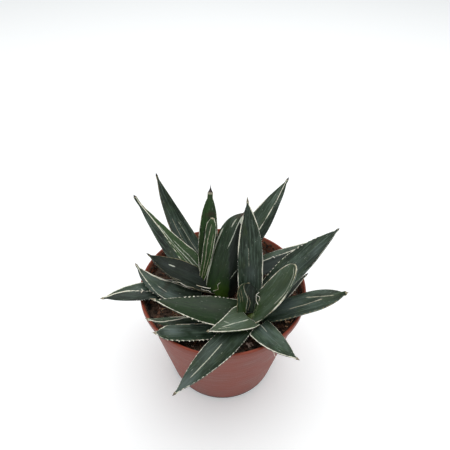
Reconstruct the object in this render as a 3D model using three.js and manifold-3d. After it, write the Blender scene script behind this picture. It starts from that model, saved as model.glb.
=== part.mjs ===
// Potted agave: a thin plastic nursery pot, its soil and a young double rosette.
// Millimetres, +Z up, the pot's underside on z = 0 and its axis on the Z axis.
import * as THREE from 'three';
import { mergeVertices } from 'three/addons/utils/BufferGeometryUtils.js';
import Module from 'manifold-3d';

const wasm = await Module();
wasm.setup();

// ---- pot ----
const POT_HEIGHT = 78;
const POT_RIM_RADIUS = 52.5;
const POT_BASE_RADIUS = 36.8;
const POT_WALL = 0.9;
const POT_FLOOR = 1.4;
const LIP_HEIGHT = 4.5;
const LIP_PROUD = 0.8;
const LIP_ROUND = 0.5;
const FOOT_ROUND = 0.8;
const POT_SEGMENTS = 48;
const DRAIN_COUNT = 6;
const DRAIN_RADIUS = 3.2;
const DRAIN_RING = 25;

// ---- soil ----
const SOIL_LEVEL = 70;
const SOIL_CROWN_RISE = 2.5;
const SEAT_GAP = 0.3;
const CLOD_COUNT = 58;
const CLOD_RING = 43;
const CLOD_RADIUS = 4.6;
const CLOD_VARIATION = 0.9;
const CLOD_FLATNESS = 0.5;
const CLOD_SINK = 0.6;
const GOLDEN_ANGLE = 2.39996;

// ---- crowns: the short stems the leaves sit on ----
const CROWN_FOOT = 54;
const CROWN_RADIUS = 5.2;
const CROWN_SHOULDER = 74;
const CROWN_TOP = 80;
const CROWN_SEGMENTS = 16;
const CROWNS = {
  rear: { x: -6, y: 1 },
  front: { x: 18, y: -26 },
};
const SEAT_LEVEL = 77;

// ---- what every leaf shares ----
const RING = 8;
const STATION_PITCH = 3.0;
const EDGE_THICKNESS = 0.8;
const TIP_HALF_WIDTH = 0.75;
const TIP_DEPTH = 0.75;
const TOOTH_REACH = 0.45;
const TOOTH_FROM = 0.2;
const TOOTH_TO = 0.8;
const CHANNEL_SHARE = 0.11;
const KEEL_SHARE = 0.2;
const FLANK_OUT = 0.6;
const FLANK_DEEP = 0.66;

// One row a leaf, upper and inner leaves first, because a lower leaf gives way
// to the ones above it. bearing, rise and seat are in degrees, lengths in mm.
//   bearing, rise  the way the chord points, round from +X and up from level
//   seat, out, up  where it is rooted: bearing round the crown, distance, height
//   width, base    greatest width, and the share of it at the root
//   widest, taper  where along the blade it is widest, and how full the point is
//   bow, sway      how far the middle stands off the chord, up and sideways
//   roll, spine    turn about the chord, length of the dark end spine
const LEAVES = [
  { name: 'leaf_front_bud', crown: 'front', bearing: 89, rise: 72, length: 20, width: 12,
    seat: 170, out: 4, up: 3, base: 0.9, widest: 0.5, taper: 5, roll: -15, bow: 0, sway: 0, spine: 1 },
  { name: 'leaf_rear_bud', crown: 'rear', bearing: 58, rise: 72, length: 45, width: 7,
    seat: 190, out: 8, up: 2, base: 0.5, widest: 0.65, taper: 4, roll: 0, bow: 0, sway: 1, spine: 2 },
  { name: 'leaf_front_cupped', crown: 'front', bearing: 13, rise: 58, length: 41, width: 18,
    seat: 90, out: 2, up: 3, base: 0.95, widest: 0.4, taper: 2.4, roll: 0, bow: 0, sway: 3.5, spine: 2 },
  { name: 'leaf_front_short', crown: 'front', bearing: 216, rise: 18, length: 29, width: 18,
    seat: 212, out: 4, up: 3, base: 1, widest: 0.1, taper: 1.3, roll: 0, bow: 0, sway: -1, spine: 2 },
  { name: 'leaf_rear_upright', crown: 'rear', bearing: 84, rise: 64, length: 57, width: 11.5,
    seat: 165, out: 5, up: 2, base: 0.65, widest: 0.38, taper: 2.2, roll: 0, bow: 0, sway: 0, spine: 5 },
  { name: 'leaf_rear_broad', crown: 'rear', bearing: 63, rise: 60, length: 54, width: 24,
    seat: 300, out: 8, up: -2, base: 0.9, widest: 0.2, taper: 4, roll: 155, bow: 3, sway: 0, spine: 2 },
  { name: 'leaf_front_upright', crown: 'front', bearing: 94, rise: 62, length: 64, width: 15.5,
    seat: 130, out: 4, up: 2, base: 0.75, widest: 0.38, taper: 2.6, roll: 0, bow: 0, sway: 0.5, spine: 5 },
  { name: 'leaf_front_left_broad', crown: 'front', bearing: 182, rise: 18, length: 55, width: 21,
    seat: 185, out: 4, up: 1, base: 0.95, widest: 0.3, taper: 1.6, roll: 0, bow: 0, sway: -1.5, spine: 3 },
  { name: 'leaf_rear_left_tall', crown: 'rear', bearing: 140, rise: 54, length: 73, width: 16,
    seat: 120, out: 5, up: 1, base: 0.85, widest: 0.25, taper: 1.6, roll: 0, bow: -3, sway: 0, spine: 4 },
  { name: 'leaf_rear_right_tall', crown: 'rear', bearing: 34, rise: 50, length: 77, width: 17,
    seat: 40, out: 5, up: 1, base: 0.72, widest: 0.38, taper: 2, roll: 0, bow: 0, sway: 1, spine: 4 },
  { name: 'leaf_front_right_long', crown: 'front', bearing: 26, rise: 40, length: 67, width: 18,
    seat: 80, out: 6, up: 1, base: 0.72, widest: 0.45, taper: 1.8, roll: 0, bow: 1.5, sway: -0.5, spine: 3 },
  { name: 'leaf_rear_left_upper', crown: 'rear', bearing: 174, rise: 30, length: 46, width: 18,
    seat: 280, out: 4, up: 1, base: 0.8, widest: 0.45, taper: 1.8, roll: 0, bow: -1.5, sway: -1, spine: 3 },
  { name: 'leaf_rear_left_long', crown: 'rear', bearing: 150, rise: 44, length: 70, width: 15,
    seat: 165, out: 5, up: 0, base: 0.72, widest: 0.38, taper: 2, roll: 10, bow: -4, sway: -1.5, spine: 3 },
  { name: 'leaf_rear_left_middle', crown: 'rear', bearing: 162, rise: 18, length: 45, width: 14,
    seat: 240, out: 14, up: 0, base: 0.72, widest: 0.38, taper: 1.8, roll: 0, bow: -2, sway: -6, spine: 3 },
  { name: 'leaf_front_right_low', crown: 'front', bearing: 5, rise: 20, length: 52, width: 14.5,
    seat: 4, out: 5, up: 0, base: 0.72, widest: 0.4, taper: 2.2, roll: 0, bow: 0, sway: 0, spine: 3 },
  { name: 'leaf_front_near_right', crown: 'front', bearing: 307, rise: 14, length: 32, width: 14.5,
    seat: 285, out: 8, up: 1, base: 0.97, widest: 0.2, taper: 1.9, roll: 0, bow: 0, sway: 1, spine: 2 },
  { name: 'leaf_rear_right_low', crown: 'rear', bearing: 7, rise: 26, length: 71, width: 12,
    seat: 12, out: 5, up: 0, base: 0.72, widest: 0.38, taper: 1.8, roll: 0, bow: 0, sway: 0, spine: 3 },
  { name: 'leaf_front_right_under', crown: 'front', bearing: 39, rise: 15, length: 36, width: 7,
    seat: 33, out: 8, up: -1, base: 0.72, widest: 0.38, taper: 1.8, roll: 0, bow: 0, sway: 0, spine: 4 },
  { name: 'leaf_rear_left_low', crown: 'rear', bearing: 195, rise: 9, length: 60, width: 14,
    seat: 215, out: 9, up: -1, base: 0.72, widest: 0.38, taper: 2.8, roll: 0, bow: 0, sway: 2.5, spine: 2 },
  { name: 'leaf_front_left_narrow', crown: 'front', bearing: 190, rise: 9, length: 53, width: 8,
    seat: 165, out: 9, up: -2, base: 0.72, widest: 0.4, taper: 3, roll: 0, bow: 0, sway: -3.5, spine: 2 },
  { name: 'leaf_front_near_left', crown: 'front', bearing: 233, rise: 10, length: 62, width: 15,
    seat: 233, out: 6, up: 1, base: 0.72, widest: 0.38, taper: 2.3, roll: 0, bow: 0, sway: 0, spine: 2 },
  { name: 'leaf_front_left_low', crown: 'front', bearing: 190, rise: 8, length: 50, width: 11,
    seat: 225, out: 9, up: -2, base: 0.72, widest: 0.4, taper: 4, roll: 0, bow: 0, sway: -1.5, spine: 3 },
];

const rad = (deg) => (deg * Math.PI) / 180;

function solidOf(geometry) {
  geometry.deleteAttribute('normal');
  geometry.deleteAttribute('uv');
  const merged = mergeVertices(geometry, 1e-4);
  const mesh = new wasm.Mesh({
    numProp: 3,
    vertProperties: new Float32Array(merged.attributes.position.array),
    triVerts: new Uint32Array(merged.index.array),
  });
  return new wasm.Manifold(mesh);
}

function geometryOf(solid) {
  const mesh = solid.getMesh();
  const geometry = new THREE.BufferGeometry();
  const stride = mesh.numProp;
  const points = [];
  for (let i = 0; i < mesh.vertProperties.length; i += stride) {
    points.push(mesh.vertProperties[i], mesh.vertProperties[i + 1], mesh.vertProperties[i + 2]);
  }
  geometry.setAttribute('position', new THREE.Float32BufferAttribute(points, 3));
  geometry.setIndex(Array.from(mesh.triVerts));
  geometry.computeVertexNormals();
  return geometry;
}

// A profile of [radius, height] pairs that starts and ends on the axis.
function turned(profile, segments, x = 0, y = 0) {
  const points = profile.map(([r, z]) => new THREE.Vector2(r, z));
  const geometry = new THREE.LatheGeometry(points, segments);
  geometry.rotateX(Math.PI / 2);
  geometry.translate(x, y, 0);
  return solidOf(geometry);
}

function largest(solid) {
  const bodies = solid.decompose();
  return bodies.reduce((best, body) => (body.volume() > best.volume() ? body : best));
}

// ---- pot ----
function wallRadius(z) {
  const top = POT_RIM_RADIUS - LIP_PROUD;
  return POT_BASE_RADIUS + ((top - POT_BASE_RADIUS) * z) / POT_HEIGHT;
}

function potSolid() {
  const lipFoot = POT_HEIGHT - LIP_HEIGHT;
  const inner = (z) => wallRadius(z) - POT_WALL;
  const shell = turned([
    [0, 0],
    [POT_BASE_RADIUS - FOOT_ROUND, 0],
    [POT_BASE_RADIUS, FOOT_ROUND],
    [wallRadius(lipFoot), lipFoot],
    [POT_RIM_RADIUS - 0.1, lipFoot + LIP_ROUND],
    [POT_RIM_RADIUS, POT_HEIGHT - LIP_ROUND],
    [POT_RIM_RADIUS - LIP_ROUND, POT_HEIGHT],
    [inner(POT_HEIGHT) + LIP_ROUND * 0.4, POT_HEIGHT],
    [inner(POT_HEIGHT - LIP_ROUND), POT_HEIGHT - LIP_ROUND],
    [inner(POT_FLOOR), POT_FLOOR],
    [0, POT_FLOOR],
  ], POT_SEGMENTS);
  let pot = shell;
  for (let i = 0; i < DRAIN_COUNT; i += 1) {
    const a = (2 * Math.PI * i) / DRAIN_COUNT;
    const hole = turned([
      [0, -1],
      [DRAIN_RADIUS, -1],
      [DRAIN_RADIUS, POT_FLOOR + 1],
      [0, POT_FLOOR + 1],
    ], 14, DRAIN_RING * Math.cos(a), DRAIN_RING * Math.sin(a));
    pot = pot.subtract(hole);
  }
  return pot;
}

// ---- crowns ----
function crownSolid(crown, pad) {
  const profile = [
    [0, CROWN_FOOT - pad],
    [CROWN_RADIUS * 0.7 + pad, CROWN_FOOT - pad],
    [CROWN_RADIUS + pad, CROWN_FOOT + 6],
    [CROWN_RADIUS + pad, CROWN_SHOULDER],
    [CROWN_RADIUS * 0.82 + pad, CROWN_SHOULDER + 2.5],
    [CROWN_RADIUS * 0.5 + pad, CROWN_TOP - 1],
    [CROWN_RADIUS * 0.2 + pad, CROWN_TOP + pad],
    [0, CROWN_TOP + pad],
  ];
  return turned(profile, CROWN_SEGMENTS, crown.x, crown.y);
}

// ---- soil ----
const soilRadius = (z) => wallRadius(z) - POT_WALL - SEAT_GAP;

// The mound's height at a distance from the pot's axis: two straight slopes and a flat top.
function moundHeight(distance) {
  const share = distance / soilRadius(SOIL_LEVEL);
  if (share > 0.8) {
    return SOIL_LEVEL + SOIL_CROWN_RISE * 0.5 * ((1 - share) / 0.2);
  }
  return SOIL_LEVEL + SOIL_CROWN_RISE * Math.min(1, 0.5 + (0.5 * (0.8 - share)) / 0.35);
}

// A flat lump of soil on a sunflower spiral, bedded in the mound.
function clodSolid(index) {
  const distance = CLOD_RING * Math.sqrt((index + 0.5) / CLOD_COUNT);
  const angle = index * GOLDEN_ANGLE;
  const geometry = new THREE.IcosahedronGeometry(CLOD_RADIUS + CLOD_VARIATION * Math.sin(5 * index), 0);
  geometry.rotateZ(index);
  geometry.scale(1, 1, CLOD_FLATNESS);
  geometry.translate(distance * Math.cos(angle), distance * Math.sin(angle), moundHeight(distance) - CLOD_SINK);
  return solidOf(geometry);
}

function soilSolid() {
  const foot = POT_FLOOR + SEAT_GAP;
  const rim = soilRadius(SOIL_LEVEL);
  let soil = turned([
    [0, foot],
    [soilRadius(foot), foot],
    [rim, SOIL_LEVEL],
    [rim * 0.8, moundHeight(rim * 0.8)],
    [rim * 0.45, moundHeight(rim * 0.45)],
    [0, moundHeight(0)],
  ], POT_SEGMENTS);
  for (let i = 0; i < CLOD_COUNT; i += 1) {
    soil = soil.add(clodSolid(i));
  }
  for (const leaf of LEAVES) {
    soil = soil.subtract(leafSolid(leaf, SEAT_GAP));
  }
  for (const crown of Object.values(CROWNS)) {
    const hole = turned([
      [0, CROWN_FOOT - SEAT_GAP],
      [CROWN_RADIUS + SEAT_GAP, CROWN_FOOT - SEAT_GAP],
      [CROWN_RADIUS + SEAT_GAP, CROWN_TOP],
      [0, CROWN_TOP],
    ], CROWN_SEGMENTS, crown.x, crown.y);
    soil = soil.subtract(hole);
  }
  return largest(soil);
}

// ---- leaves ----
// Along the blade, 0 at the root and 1 where the spine starts.
function fullness(leaf, t) {
  if (t < leaf.widest) {
    return leaf.base + (1 - leaf.base) * Math.sin((Math.PI / 2) * (t / leaf.widest));
  }
  return 1 - ((t - leaf.widest) / (1 - leaf.widest)) ** leaf.taper;
}

function bladeAxes(leaf) {
  const b = rad(leaf.bearing);
  const e = rad(leaf.rise);
  const along = new THREE.Vector3(Math.cos(e) * Math.cos(b), Math.cos(e) * Math.sin(b), Math.sin(e));
  const over = new THREE.Vector3(-Math.sin(e) * Math.cos(b), -Math.sin(e) * Math.sin(b), Math.cos(e));
  const side = new THREE.Vector3().crossVectors(along, over);
  return { along, over, side };
}

function centreAt(leaf, t) {
  const { along, over, side } = bladeAxes(leaf);
  const crown = CROWNS[leaf.crown];
  const s = rad(leaf.seat);
  const swell = 4 * t * (1 - t);
  return new THREE.Vector3(
    crown.x + leaf.out * Math.cos(s),
    crown.y + leaf.out * Math.sin(s),
    SEAT_LEVEL + leaf.up,
  )
    .addScaledVector(along, leaf.length * t)
    .addScaledVector(over, leaf.bow * swell)
    .addScaledVector(side, leaf.sway * swell);
}

// Side and face directions square to the blade's own curve at t.
function sectionAxes(leaf, t) {
  const { over, side } = bladeAxes(leaf);
  const step = 1e-3;
  const run = centreAt(leaf, t + step).sub(centreAt(leaf, t - step)).normalize();
  const r = rad(leaf.roll);
  const across = side.clone().multiplyScalar(Math.cos(r)).addScaledVector(over, Math.sin(r));
  across.addScaledVector(run, -across.dot(run)).normalize();
  const face = new THREE.Vector3().crossVectors(across, run);
  return { run, across, face };
}

// Eight corners: a shallow channel above, two cut margins, flanks and a keel below.
function sectionCorners(leaf, t, toothed, pad) {
  const full = Math.max(fullness(leaf, t), 0);
  const reach = toothed ? TOOTH_REACH : 0;
  const half = Math.max(TIP_HALF_WIDTH, (leaf.width / 2) * full) + reach + pad;
  const channel = CHANNEL_SHARE * leaf.width * full;
  const taper = (1.15 - 0.5 * t) * Math.sqrt(full);
  const deep = Math.max(TIP_DEPTH, KEEL_SHARE * leaf.width * taper);
  const edge = Math.min(EDGE_THICKNESS, deep * 0.6);
  const flank = half * FLANK_OUT;
  return [
    [-half, channel + pad],
    [0, pad],
    [half, channel + pad],
    [half, channel - edge - pad],
    [flank, -deep * FLANK_DEEP - pad],
    [0, -deep - pad],
    [-flank, -deep * FLANK_DEEP - pad],
    [-half, channel - edge - pad],
  ];
}

function leafSolid(leaf, pad) {
  const count = Math.max(8, Math.round(leaf.length / STATION_PITCH));
  const points = [];
  for (let i = 0; i <= count; i += 1) {
    const t = i / count;
    const toothed = i % 2 === 1 && t > TOOTH_FROM && t < TOOTH_TO;
    const { across, face } = sectionAxes(leaf, t);
    const centre = centreAt(leaf, t);
    for (const [u, v] of sectionCorners(leaf, t, toothed, pad)) {
      const p = centre.clone().addScaledVector(across, u).addScaledVector(face, v);
      points.push(p.x, p.y, p.z);
    }
  }
  const { run } = sectionAxes(leaf, 1);
  const root = centreAt(leaf, 0).addScaledVector(sectionAxes(leaf, 0).run, -pad);
  const point = centreAt(leaf, 1).addScaledVector(run, leaf.spine + pad);
  const rootIndex = points.length / 3;
  points.push(root.x, root.y, root.z);
  const tipIndex = rootIndex + 1;
  points.push(point.x, point.y, point.z);
  const faces = [];
  for (let i = 0; i < count; i += 1) {
    for (let j = 0; j < RING; j += 1) {
      const k = (j + 1) % RING;
      const a = i * RING + j;
      const b = i * RING + k;
      faces.push(a, b, b + RING, a, b + RING, a + RING);
    }
  }
  for (let j = 0; j < RING; j += 1) {
    const k = (j + 1) % RING;
    faces.push(rootIndex, k, j);
    faces.push(tipIndex, count * RING + j, count * RING + k);
  }
  const geometry = new THREE.BufferGeometry();
  geometry.setAttribute('position', new THREE.Float32BufferAttribute(points, 3));
  geometry.setIndex(faces);
  return solidOf(geometry);
}

// ---- put together ----
const group = new THREE.Group();

function addPiece(name, solid, color, roughness) {
  const material = new THREE.MeshStandardMaterial({ color, roughness, metalness: 0 });
  const mesh = new THREE.Mesh(geometryOf(solid), material);
  mesh.name = name;
  group.add(mesh);
  return mesh;
}

addPiece('pot', potSolid(), 0x8f4a3a, 0.55);
addPiece('soil', soilSolid(), 0x2a1c16, 0.95);
addPiece('crown_rear', crownSolid(CROWNS.rear, 0), 0x6f8a3c, 0.6);
addPiece('crown_front', crownSolid(CROWNS.front, 0), 0x6f8a3c, 0.6);

const keepClear = Object.values(CROWNS).map((crown) => crownSolid(crown, SEAT_GAP));
for (const leaf of LEAVES) {
  let blade = leafSolid(leaf, 0);
  for (const other of keepClear) {
    blade = blade.subtract(other);
  }
  blade = largest(blade);
  addPiece(leaf.name, blade, 0x2f4a3c, 0.45);
  keepClear.push(leafSolid(leaf, SEAT_GAP));
}

export default group;
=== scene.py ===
"""Potted agave: the looks of a young double rosette in a thin plastic nursery pot.

Metres, +Z up, the pot's underside on z = 0. Every visible piece is worked out
here from real sizes: the blades as a section swept along a curve, the pot and
the crowns as turned profiles, the soil as a height field with loose bits on it.
"""
from __future__ import annotations

import logging
import math
from dataclasses import dataclass
from enum import Enum

import bmesh
import bpy
import numpy as np
from mathutils import Matrix, Vector

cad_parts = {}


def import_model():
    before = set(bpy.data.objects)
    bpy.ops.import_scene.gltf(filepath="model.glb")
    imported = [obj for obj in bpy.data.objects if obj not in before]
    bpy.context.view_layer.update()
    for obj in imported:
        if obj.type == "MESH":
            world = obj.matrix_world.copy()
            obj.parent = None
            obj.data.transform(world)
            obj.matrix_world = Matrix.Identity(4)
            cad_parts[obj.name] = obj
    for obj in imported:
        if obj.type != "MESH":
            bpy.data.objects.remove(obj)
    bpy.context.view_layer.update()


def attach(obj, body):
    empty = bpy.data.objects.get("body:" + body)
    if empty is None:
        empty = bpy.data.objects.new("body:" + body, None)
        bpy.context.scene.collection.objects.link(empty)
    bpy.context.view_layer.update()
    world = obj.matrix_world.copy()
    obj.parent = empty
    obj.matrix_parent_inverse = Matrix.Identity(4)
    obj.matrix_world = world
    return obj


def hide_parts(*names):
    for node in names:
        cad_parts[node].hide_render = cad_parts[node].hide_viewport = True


log = logging.getLogger("agave")
MM = 0.001
Array = np.ndarray
Socket = bpy.types.NodeSocket
Material = bpy.types.Material
Piece = bpy.types.Object


def srgb(red: int, green: int, blue: int) -> tuple[float, float, float, float]:
    """Turns a picture colour, from 0 to 255, into a linear one with full opacity."""
    def channel(value: int) -> float:
        share = value / 255
        return share / 12.92 if share <= 0.04045 else ((share + 0.055) / 1.055) ** 2.4

    return channel(red), channel(green), channel(blue), 1.0


# ---- node trees ----
class Shader:
    """A material under construction, with short calls for its usual nodes."""

    def __init__(self, name: str) -> None:
        self.material = bpy.data.materials.new(name)
        self.material.use_nodes = True
        self.tree = self.material.node_tree
        self.tree.nodes.clear()
        out = self.tree.nodes.new("ShaderNodeOutputMaterial")
        self.bsdf = self.tree.nodes.new("ShaderNodeBsdfPrincipled")
        self.tree.links.new(self.bsdf.outputs["BSDF"], out.inputs["Surface"])

    def feed(self, socket: Socket, value: Socket | float | tuple) -> None:
        """Links a socket, or sets it where the value is a constant."""
        if isinstance(value, bpy.types.NodeSocket):
            self.tree.links.new(value, socket)
        else:
            socket.default_value = value

    def node(self, kind: str, out: int | str, feeds: dict | None = None, **settings: str) -> Socket:
        """Makes a node.

        Args:
            kind: its type, without the leading ShaderNode.
            out: the output that is handed over.
            feeds: values or sockets for its inputs, by index or name.
            settings: the node's own settings.

        Returns:
            The output.
        """
        node = self.tree.nodes.new("ShaderNode" + kind)
        for key, value in settings.items():
            setattr(node, key, value)
        for key, value in (feeds or {}).items():
            self.feed(node.inputs[key], value)
        return node.outputs[out]

    def attribute(self, name: str, out: str = "Fac") -> Socket:
        """Reads a mesh attribute."""
        return self.node("Attribute", out, attribute_name=name)

    def parts(self, name: str) -> tuple[Socket, Socket, Socket]:
        """The three parts of a vector attribute."""
        return self.split(self.attribute(name, "Vector"))

    def place(self) -> Socket:
        """The point in the object's own metres."""
        return self.node("TexCoord", "Object")

    def split(self, vector: Socket) -> tuple[Socket, Socket, Socket]:
        """A vector's three parts."""
        first = self.node("SeparateXYZ", 0, {0: vector})
        return first, first.node.outputs[1], first.node.outputs[2]

    def join(self, x: Socket | float, y: Socket | float, z: Socket | float) -> Socket:
        """A vector from three parts."""
        return self.node("CombineXYZ", 0, {0: x, 1: y, 2: z})

    def math(self, operation: str, a: Socket | float, b: Socket | float = 0.0) -> Socket:
        """One arithmetic step."""
        return self.node("Math", 0, {0: a, 1: b}, operation=operation)

    def times(self, a: Socket | float, b: Socket | float) -> Socket:
        """A product."""
        return self.math("MULTIPLY", a, b)

    def plus(self, a: Socket | float, b: Socket | float) -> Socket:
        """A sum."""
        return self.math("ADD", a, b)

    def step(self, value: Socket, low: float, high: float, start: float = 0.0, end: float = 1.0) -> Socket:
        """A smooth step from start to end as value goes from low to high."""
        return self.node("MapRange", "Result", {"Value": value, "From Min": low, "From Max": high, "To Min": start,
                                                "To Max": end}, interpolation_type="SMOOTHSTEP")

    def noise(self, vector: Socket, scale: float, detail: float = 2.0, rough: float = 0.5) -> Socket:
        """Smooth noise around 0.5."""
        return self.node("TexNoise", "Fac", {"Vector": vector, "Scale": scale, "Detail": detail, "Roughness": rough})

    def cells(self, vector: Socket, scale: float) -> Socket:
        """Distance from the middles in a field of random cells."""
        return self.node("TexVoronoi", "Distance", {"Vector": vector, "Scale": scale}, feature="F1")

    def mix(self, share: Socket | float, a: Socket | tuple, b: Socket | tuple) -> Socket:
        """From colour a to colour b."""
        return self.node("Mix", 2, {"Factor": share, 6: a, 7: b}, data_type="RGBA")

    def coat(self, under: Socket | tuple, colour: Socket | tuple, value: Socket, low: float, high: float,
             most: float = 1.0, gate: Socket | None = None) -> Socket:
        """Lays a colour over another as value goes from low to high.

        Args:
            under: the colour so far.
            colour: the colour of the coat.
            value: what the coat follows.
            low, high: where the coat begins and where it is full.
            most: the full coat's share.
            gate: a share that the whole coat is multiplied by.

        Returns:
            The new colour.
        """
        share = self.step(value, low, high, 0.0, most)
        return self.mix(share if gate is None else self.times(gate, share), under, colour)

    def bump(self, height: Socket, distance: float) -> None:
        """Adds a relief, in metres, before the ones already there."""
        normal = self.bsdf.inputs["Normal"]
        feeds = {"Distance": distance, "Strength": 1.0, "Height": height}
        if normal.is_linked:
            feeds["Normal"] = normal.links[0].from_socket
        self.feed(normal, self.node("Bump", "Normal", feeds))

    def finish(self, colour: Socket | tuple, roughness: Socket | float, specular: float = 0.5,
               through: float = 0.0) -> Material:
        """Sets the surface and hands the material over.

        Args:
            colour: base colour.
            roughness: surface roughness.
            specular: strength of the plain reflection.
            through: share of light scattered under the surface.

        Returns:
            The finished material.
        """
        for name, value in (("Base Color", colour), ("Roughness", roughness), ("Specular IOR Level", specular),
                            ("Subsurface Weight", through), ("Subsurface Radius", (0.6, 1.0, 0.4)),
                            ("Subsurface Scale", MM)):
            self.feed(self.bsdf.inputs[name], value)
        return self.material


@dataclass(frozen=True)
class LeafFinish:
    """Waxy agave leaf: dark green with grey streaks, pale edge, prints and a dark point."""

    # painted shade: the colour that darker blades and shaded parts are mixed towards
    dark: tuple = srgb(13, 17, 14)
    deep: tuple = srgb(15, 25, 18)
    blade: tuple = srgb(38, 55, 40)
    fresh: tuple = srgb(44, 80, 24)
    bloom: tuple = srgb(98, 117, 104)
    # painted highlight: a bluish painted reflection of the light on the blades
    painted_highlight: tuple = srgb(98, 113, 110)
    moss: tuple = srgb(58, 74, 40)
    # painted light: the colour that blades with negative shade are mixed towards
    light: tuple = srgb(98, 112, 88)
    root: tuple = srgb(56, 82, 18)
    horn: tuple = srgb(232, 230, 212)
    old_horn: tuple = srgb(158, 146, 114)
    print_line: tuple = srgb(196, 202, 186)
    scorch: tuple = srgb(58, 36, 26)
    point: tuple = srgb(40, 32, 29)
    pale_point: tuple = srgb(150, 140, 118)

    def build(self) -> Material:
        """Reads the blade's own attributes, so that nothing swims over it."""
        s = Shader("waxy_agave_leaf")
        along, across, under = s.parts("blade")
        fresh, scorch, shade = s.parts("tone")
        tilt, tip, old = s.parts("strand")
        # the rim attribute's second part is the painted highlight share
        rim, painted_highlight, _ = s.parts("rim")
        point = s.attribute("point")
        place = s.place()

        def drawn(stretch: float, turn: float, scale: float, detail: float, rough: float = 0.5) -> Socket:
            """Noise drawn out along the blade, another one for each blade."""
            return s.noise(s.join(s.times(along, stretch), across, s.times(tilt, turn)), scale, detail, rough)

        streak, fibre = drawn(0.055, 0.05, 950.0, 4.0, 0.6), drawn(0.055, 0.05, 3200.0, 2.0)
        hue, broad = drawn(0.3, 0.23, 260.0, 2.0), drawn(0.35, 0.31, 130.0, 3.0)
        scratch = drawn(0.16, 0.17, 2100.0, 1.0)
        cloud, speck = s.noise(place, 90.0, 3.0), s.noise(place, 1500.0, 2.0)
        waxy = s.step(fresh, 0.1, 0.9, 1.0, 0.1)
        green = s.coat(self.deep, self.blade, cloud, 0.3, 0.7)
        green = s.mix(s.times(fresh, s.step(streak, 0.25, 0.7, 0.55, 1.0)), green, self.fresh)
        for colour, value, low, high, most, gate in (  # as in coat
            (self.bloom, streak, 0.52, 0.64, 0.6, waxy),
            (self.bloom, fibre, 0.52, 0.68, 0.5, waxy),
            (self.deep, fibre, 0.48, 0.32, 0.7, None),
            (self.moss, hue, 0.52, 0.68, 0.45, None),
            (self.bloom, broad, 0.5, 0.7, 0.5, waxy),
            (self.deep, broad, 0.5, 0.3, 0.5, None),
            (self.print_line, scratch, 0.7, 0.76, 0.5, None),
            (self.deep, speck, 0.6, 0.85, 0.2, None),
        ):
            green = s.coat(green, colour, value, low, high, most, gate)
        green = s.mix(s.times(under, 0.35), green, self.deep)
        # painted highlight: a bluish painted reflection in each blade's listed patches, broken up by the streaks
        green = s.mix(s.times(painted_highlight, s.step(streak, 0.2, 0.6, 0.5, 1.0)), green, self.painted_highlight)
        # painted shade towards dark and painted light towards light, by the tone's third part, which also carries each
        # blade's own darker or lighter tone
        green = s.mix(s.math("MAXIMUM", shade, 0.0), green, self.dark)
        green = s.mix(s.math("MAXIMUM", s.times(shade, -1.0), 0.0), green, self.light)
        wobble = s.times(s.plus(cloud, -0.5), 0.014)
        young = s.times(s.step(s.plus(along, wobble), 0.001, 0.013, 0.85, 0.0),
                        s.step(s.math("ABSOLUTE", across), 0.003, 0.0065, 1.0, 0.1))
        green = s.coat(green, self.root, fresh, 0.1, 0.5, gate=young)
        colour = s.coat(green, self.scorch, s.noise(place, 260.0, 3.0), 0.42, 0.6, gate=scorch)
        ragged = s.times(s.plus(s.noise(place, 1100.0, 3.0), -0.5), 0.5)
        raised = 0.0
        for index in range(LAYERS):
            offset, half, tan = s.parts(f"mark_{index + 1}")
            inside = s.math("SUBTRACT", half, s.math("ABSOLUTE", offset))
            line = s.step(s.plus(inside, ragged), -0.07, 0.12)
            colour = s.mix(s.times(line, 0.9), colour, s.mix(tan, self.print_line, self.old_horn))
            raised = s.math("MAXIMUM", raised, line)
        edge = s.step(s.plus(rim, ragged), -0.08, 0.1, 1.0, 0.0)
        weather = s.plus(s.noise(place, 420.0, 3.0), s.plus(old, -0.5))
        horn = s.coat(self.horn, self.old_horn, weather, 0.35, 0.65)
        colour = s.mix(edge, colour, horn)
        colour = s.coat(colour, s.mix(0.6, horn, self.old_horn), point, 1.3, 1.08, 0.8)
        colour = s.coat(colour, s.mix(tip, self.pale_point, self.point), point, 1.1, 0.85)
        for height, depth in ((streak, 0.22), (fibre, 0.06), (s.math("MAXIMUM", raised, edge), 0.18)):
            s.bump(height, depth * MM)
        gloss = s.step(s.plus(streak, s.times(edge, 0.4)), 0.3, 0.9, 0.38, 0.58)
        return s.finish(colour, gloss, specular=0.32, through=0.06)


@dataclass(frozen=True)
class CrownFinish:
    """Pale young tissue at the heart of a rosette."""

    pale: tuple = srgb(84, 98, 44)
    green: tuple = srgb(40, 56, 24)

    def build(self) -> Material:
        """Mottled yellow-green with fine upright fibres."""
        s = Shader("crown_tissue")
        place = s.place()
        x, y, z = s.split(place)
        fibres = s.noise(s.join(x, y, s.times(z, 0.12)), 1400.0, 3.0)
        colour = s.mix(s.noise(place, 240.0, 3.0), self.green, self.pale)
        colour = s.coat(colour, self.pale, fibres, 0.5, 0.8, 0.5)
        s.bump(fibres, 0.2 * MM)
        return s.finish(colour, s.step(fibres, 0.2, 0.8, 0.42, 0.6), through=0.1)


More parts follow.
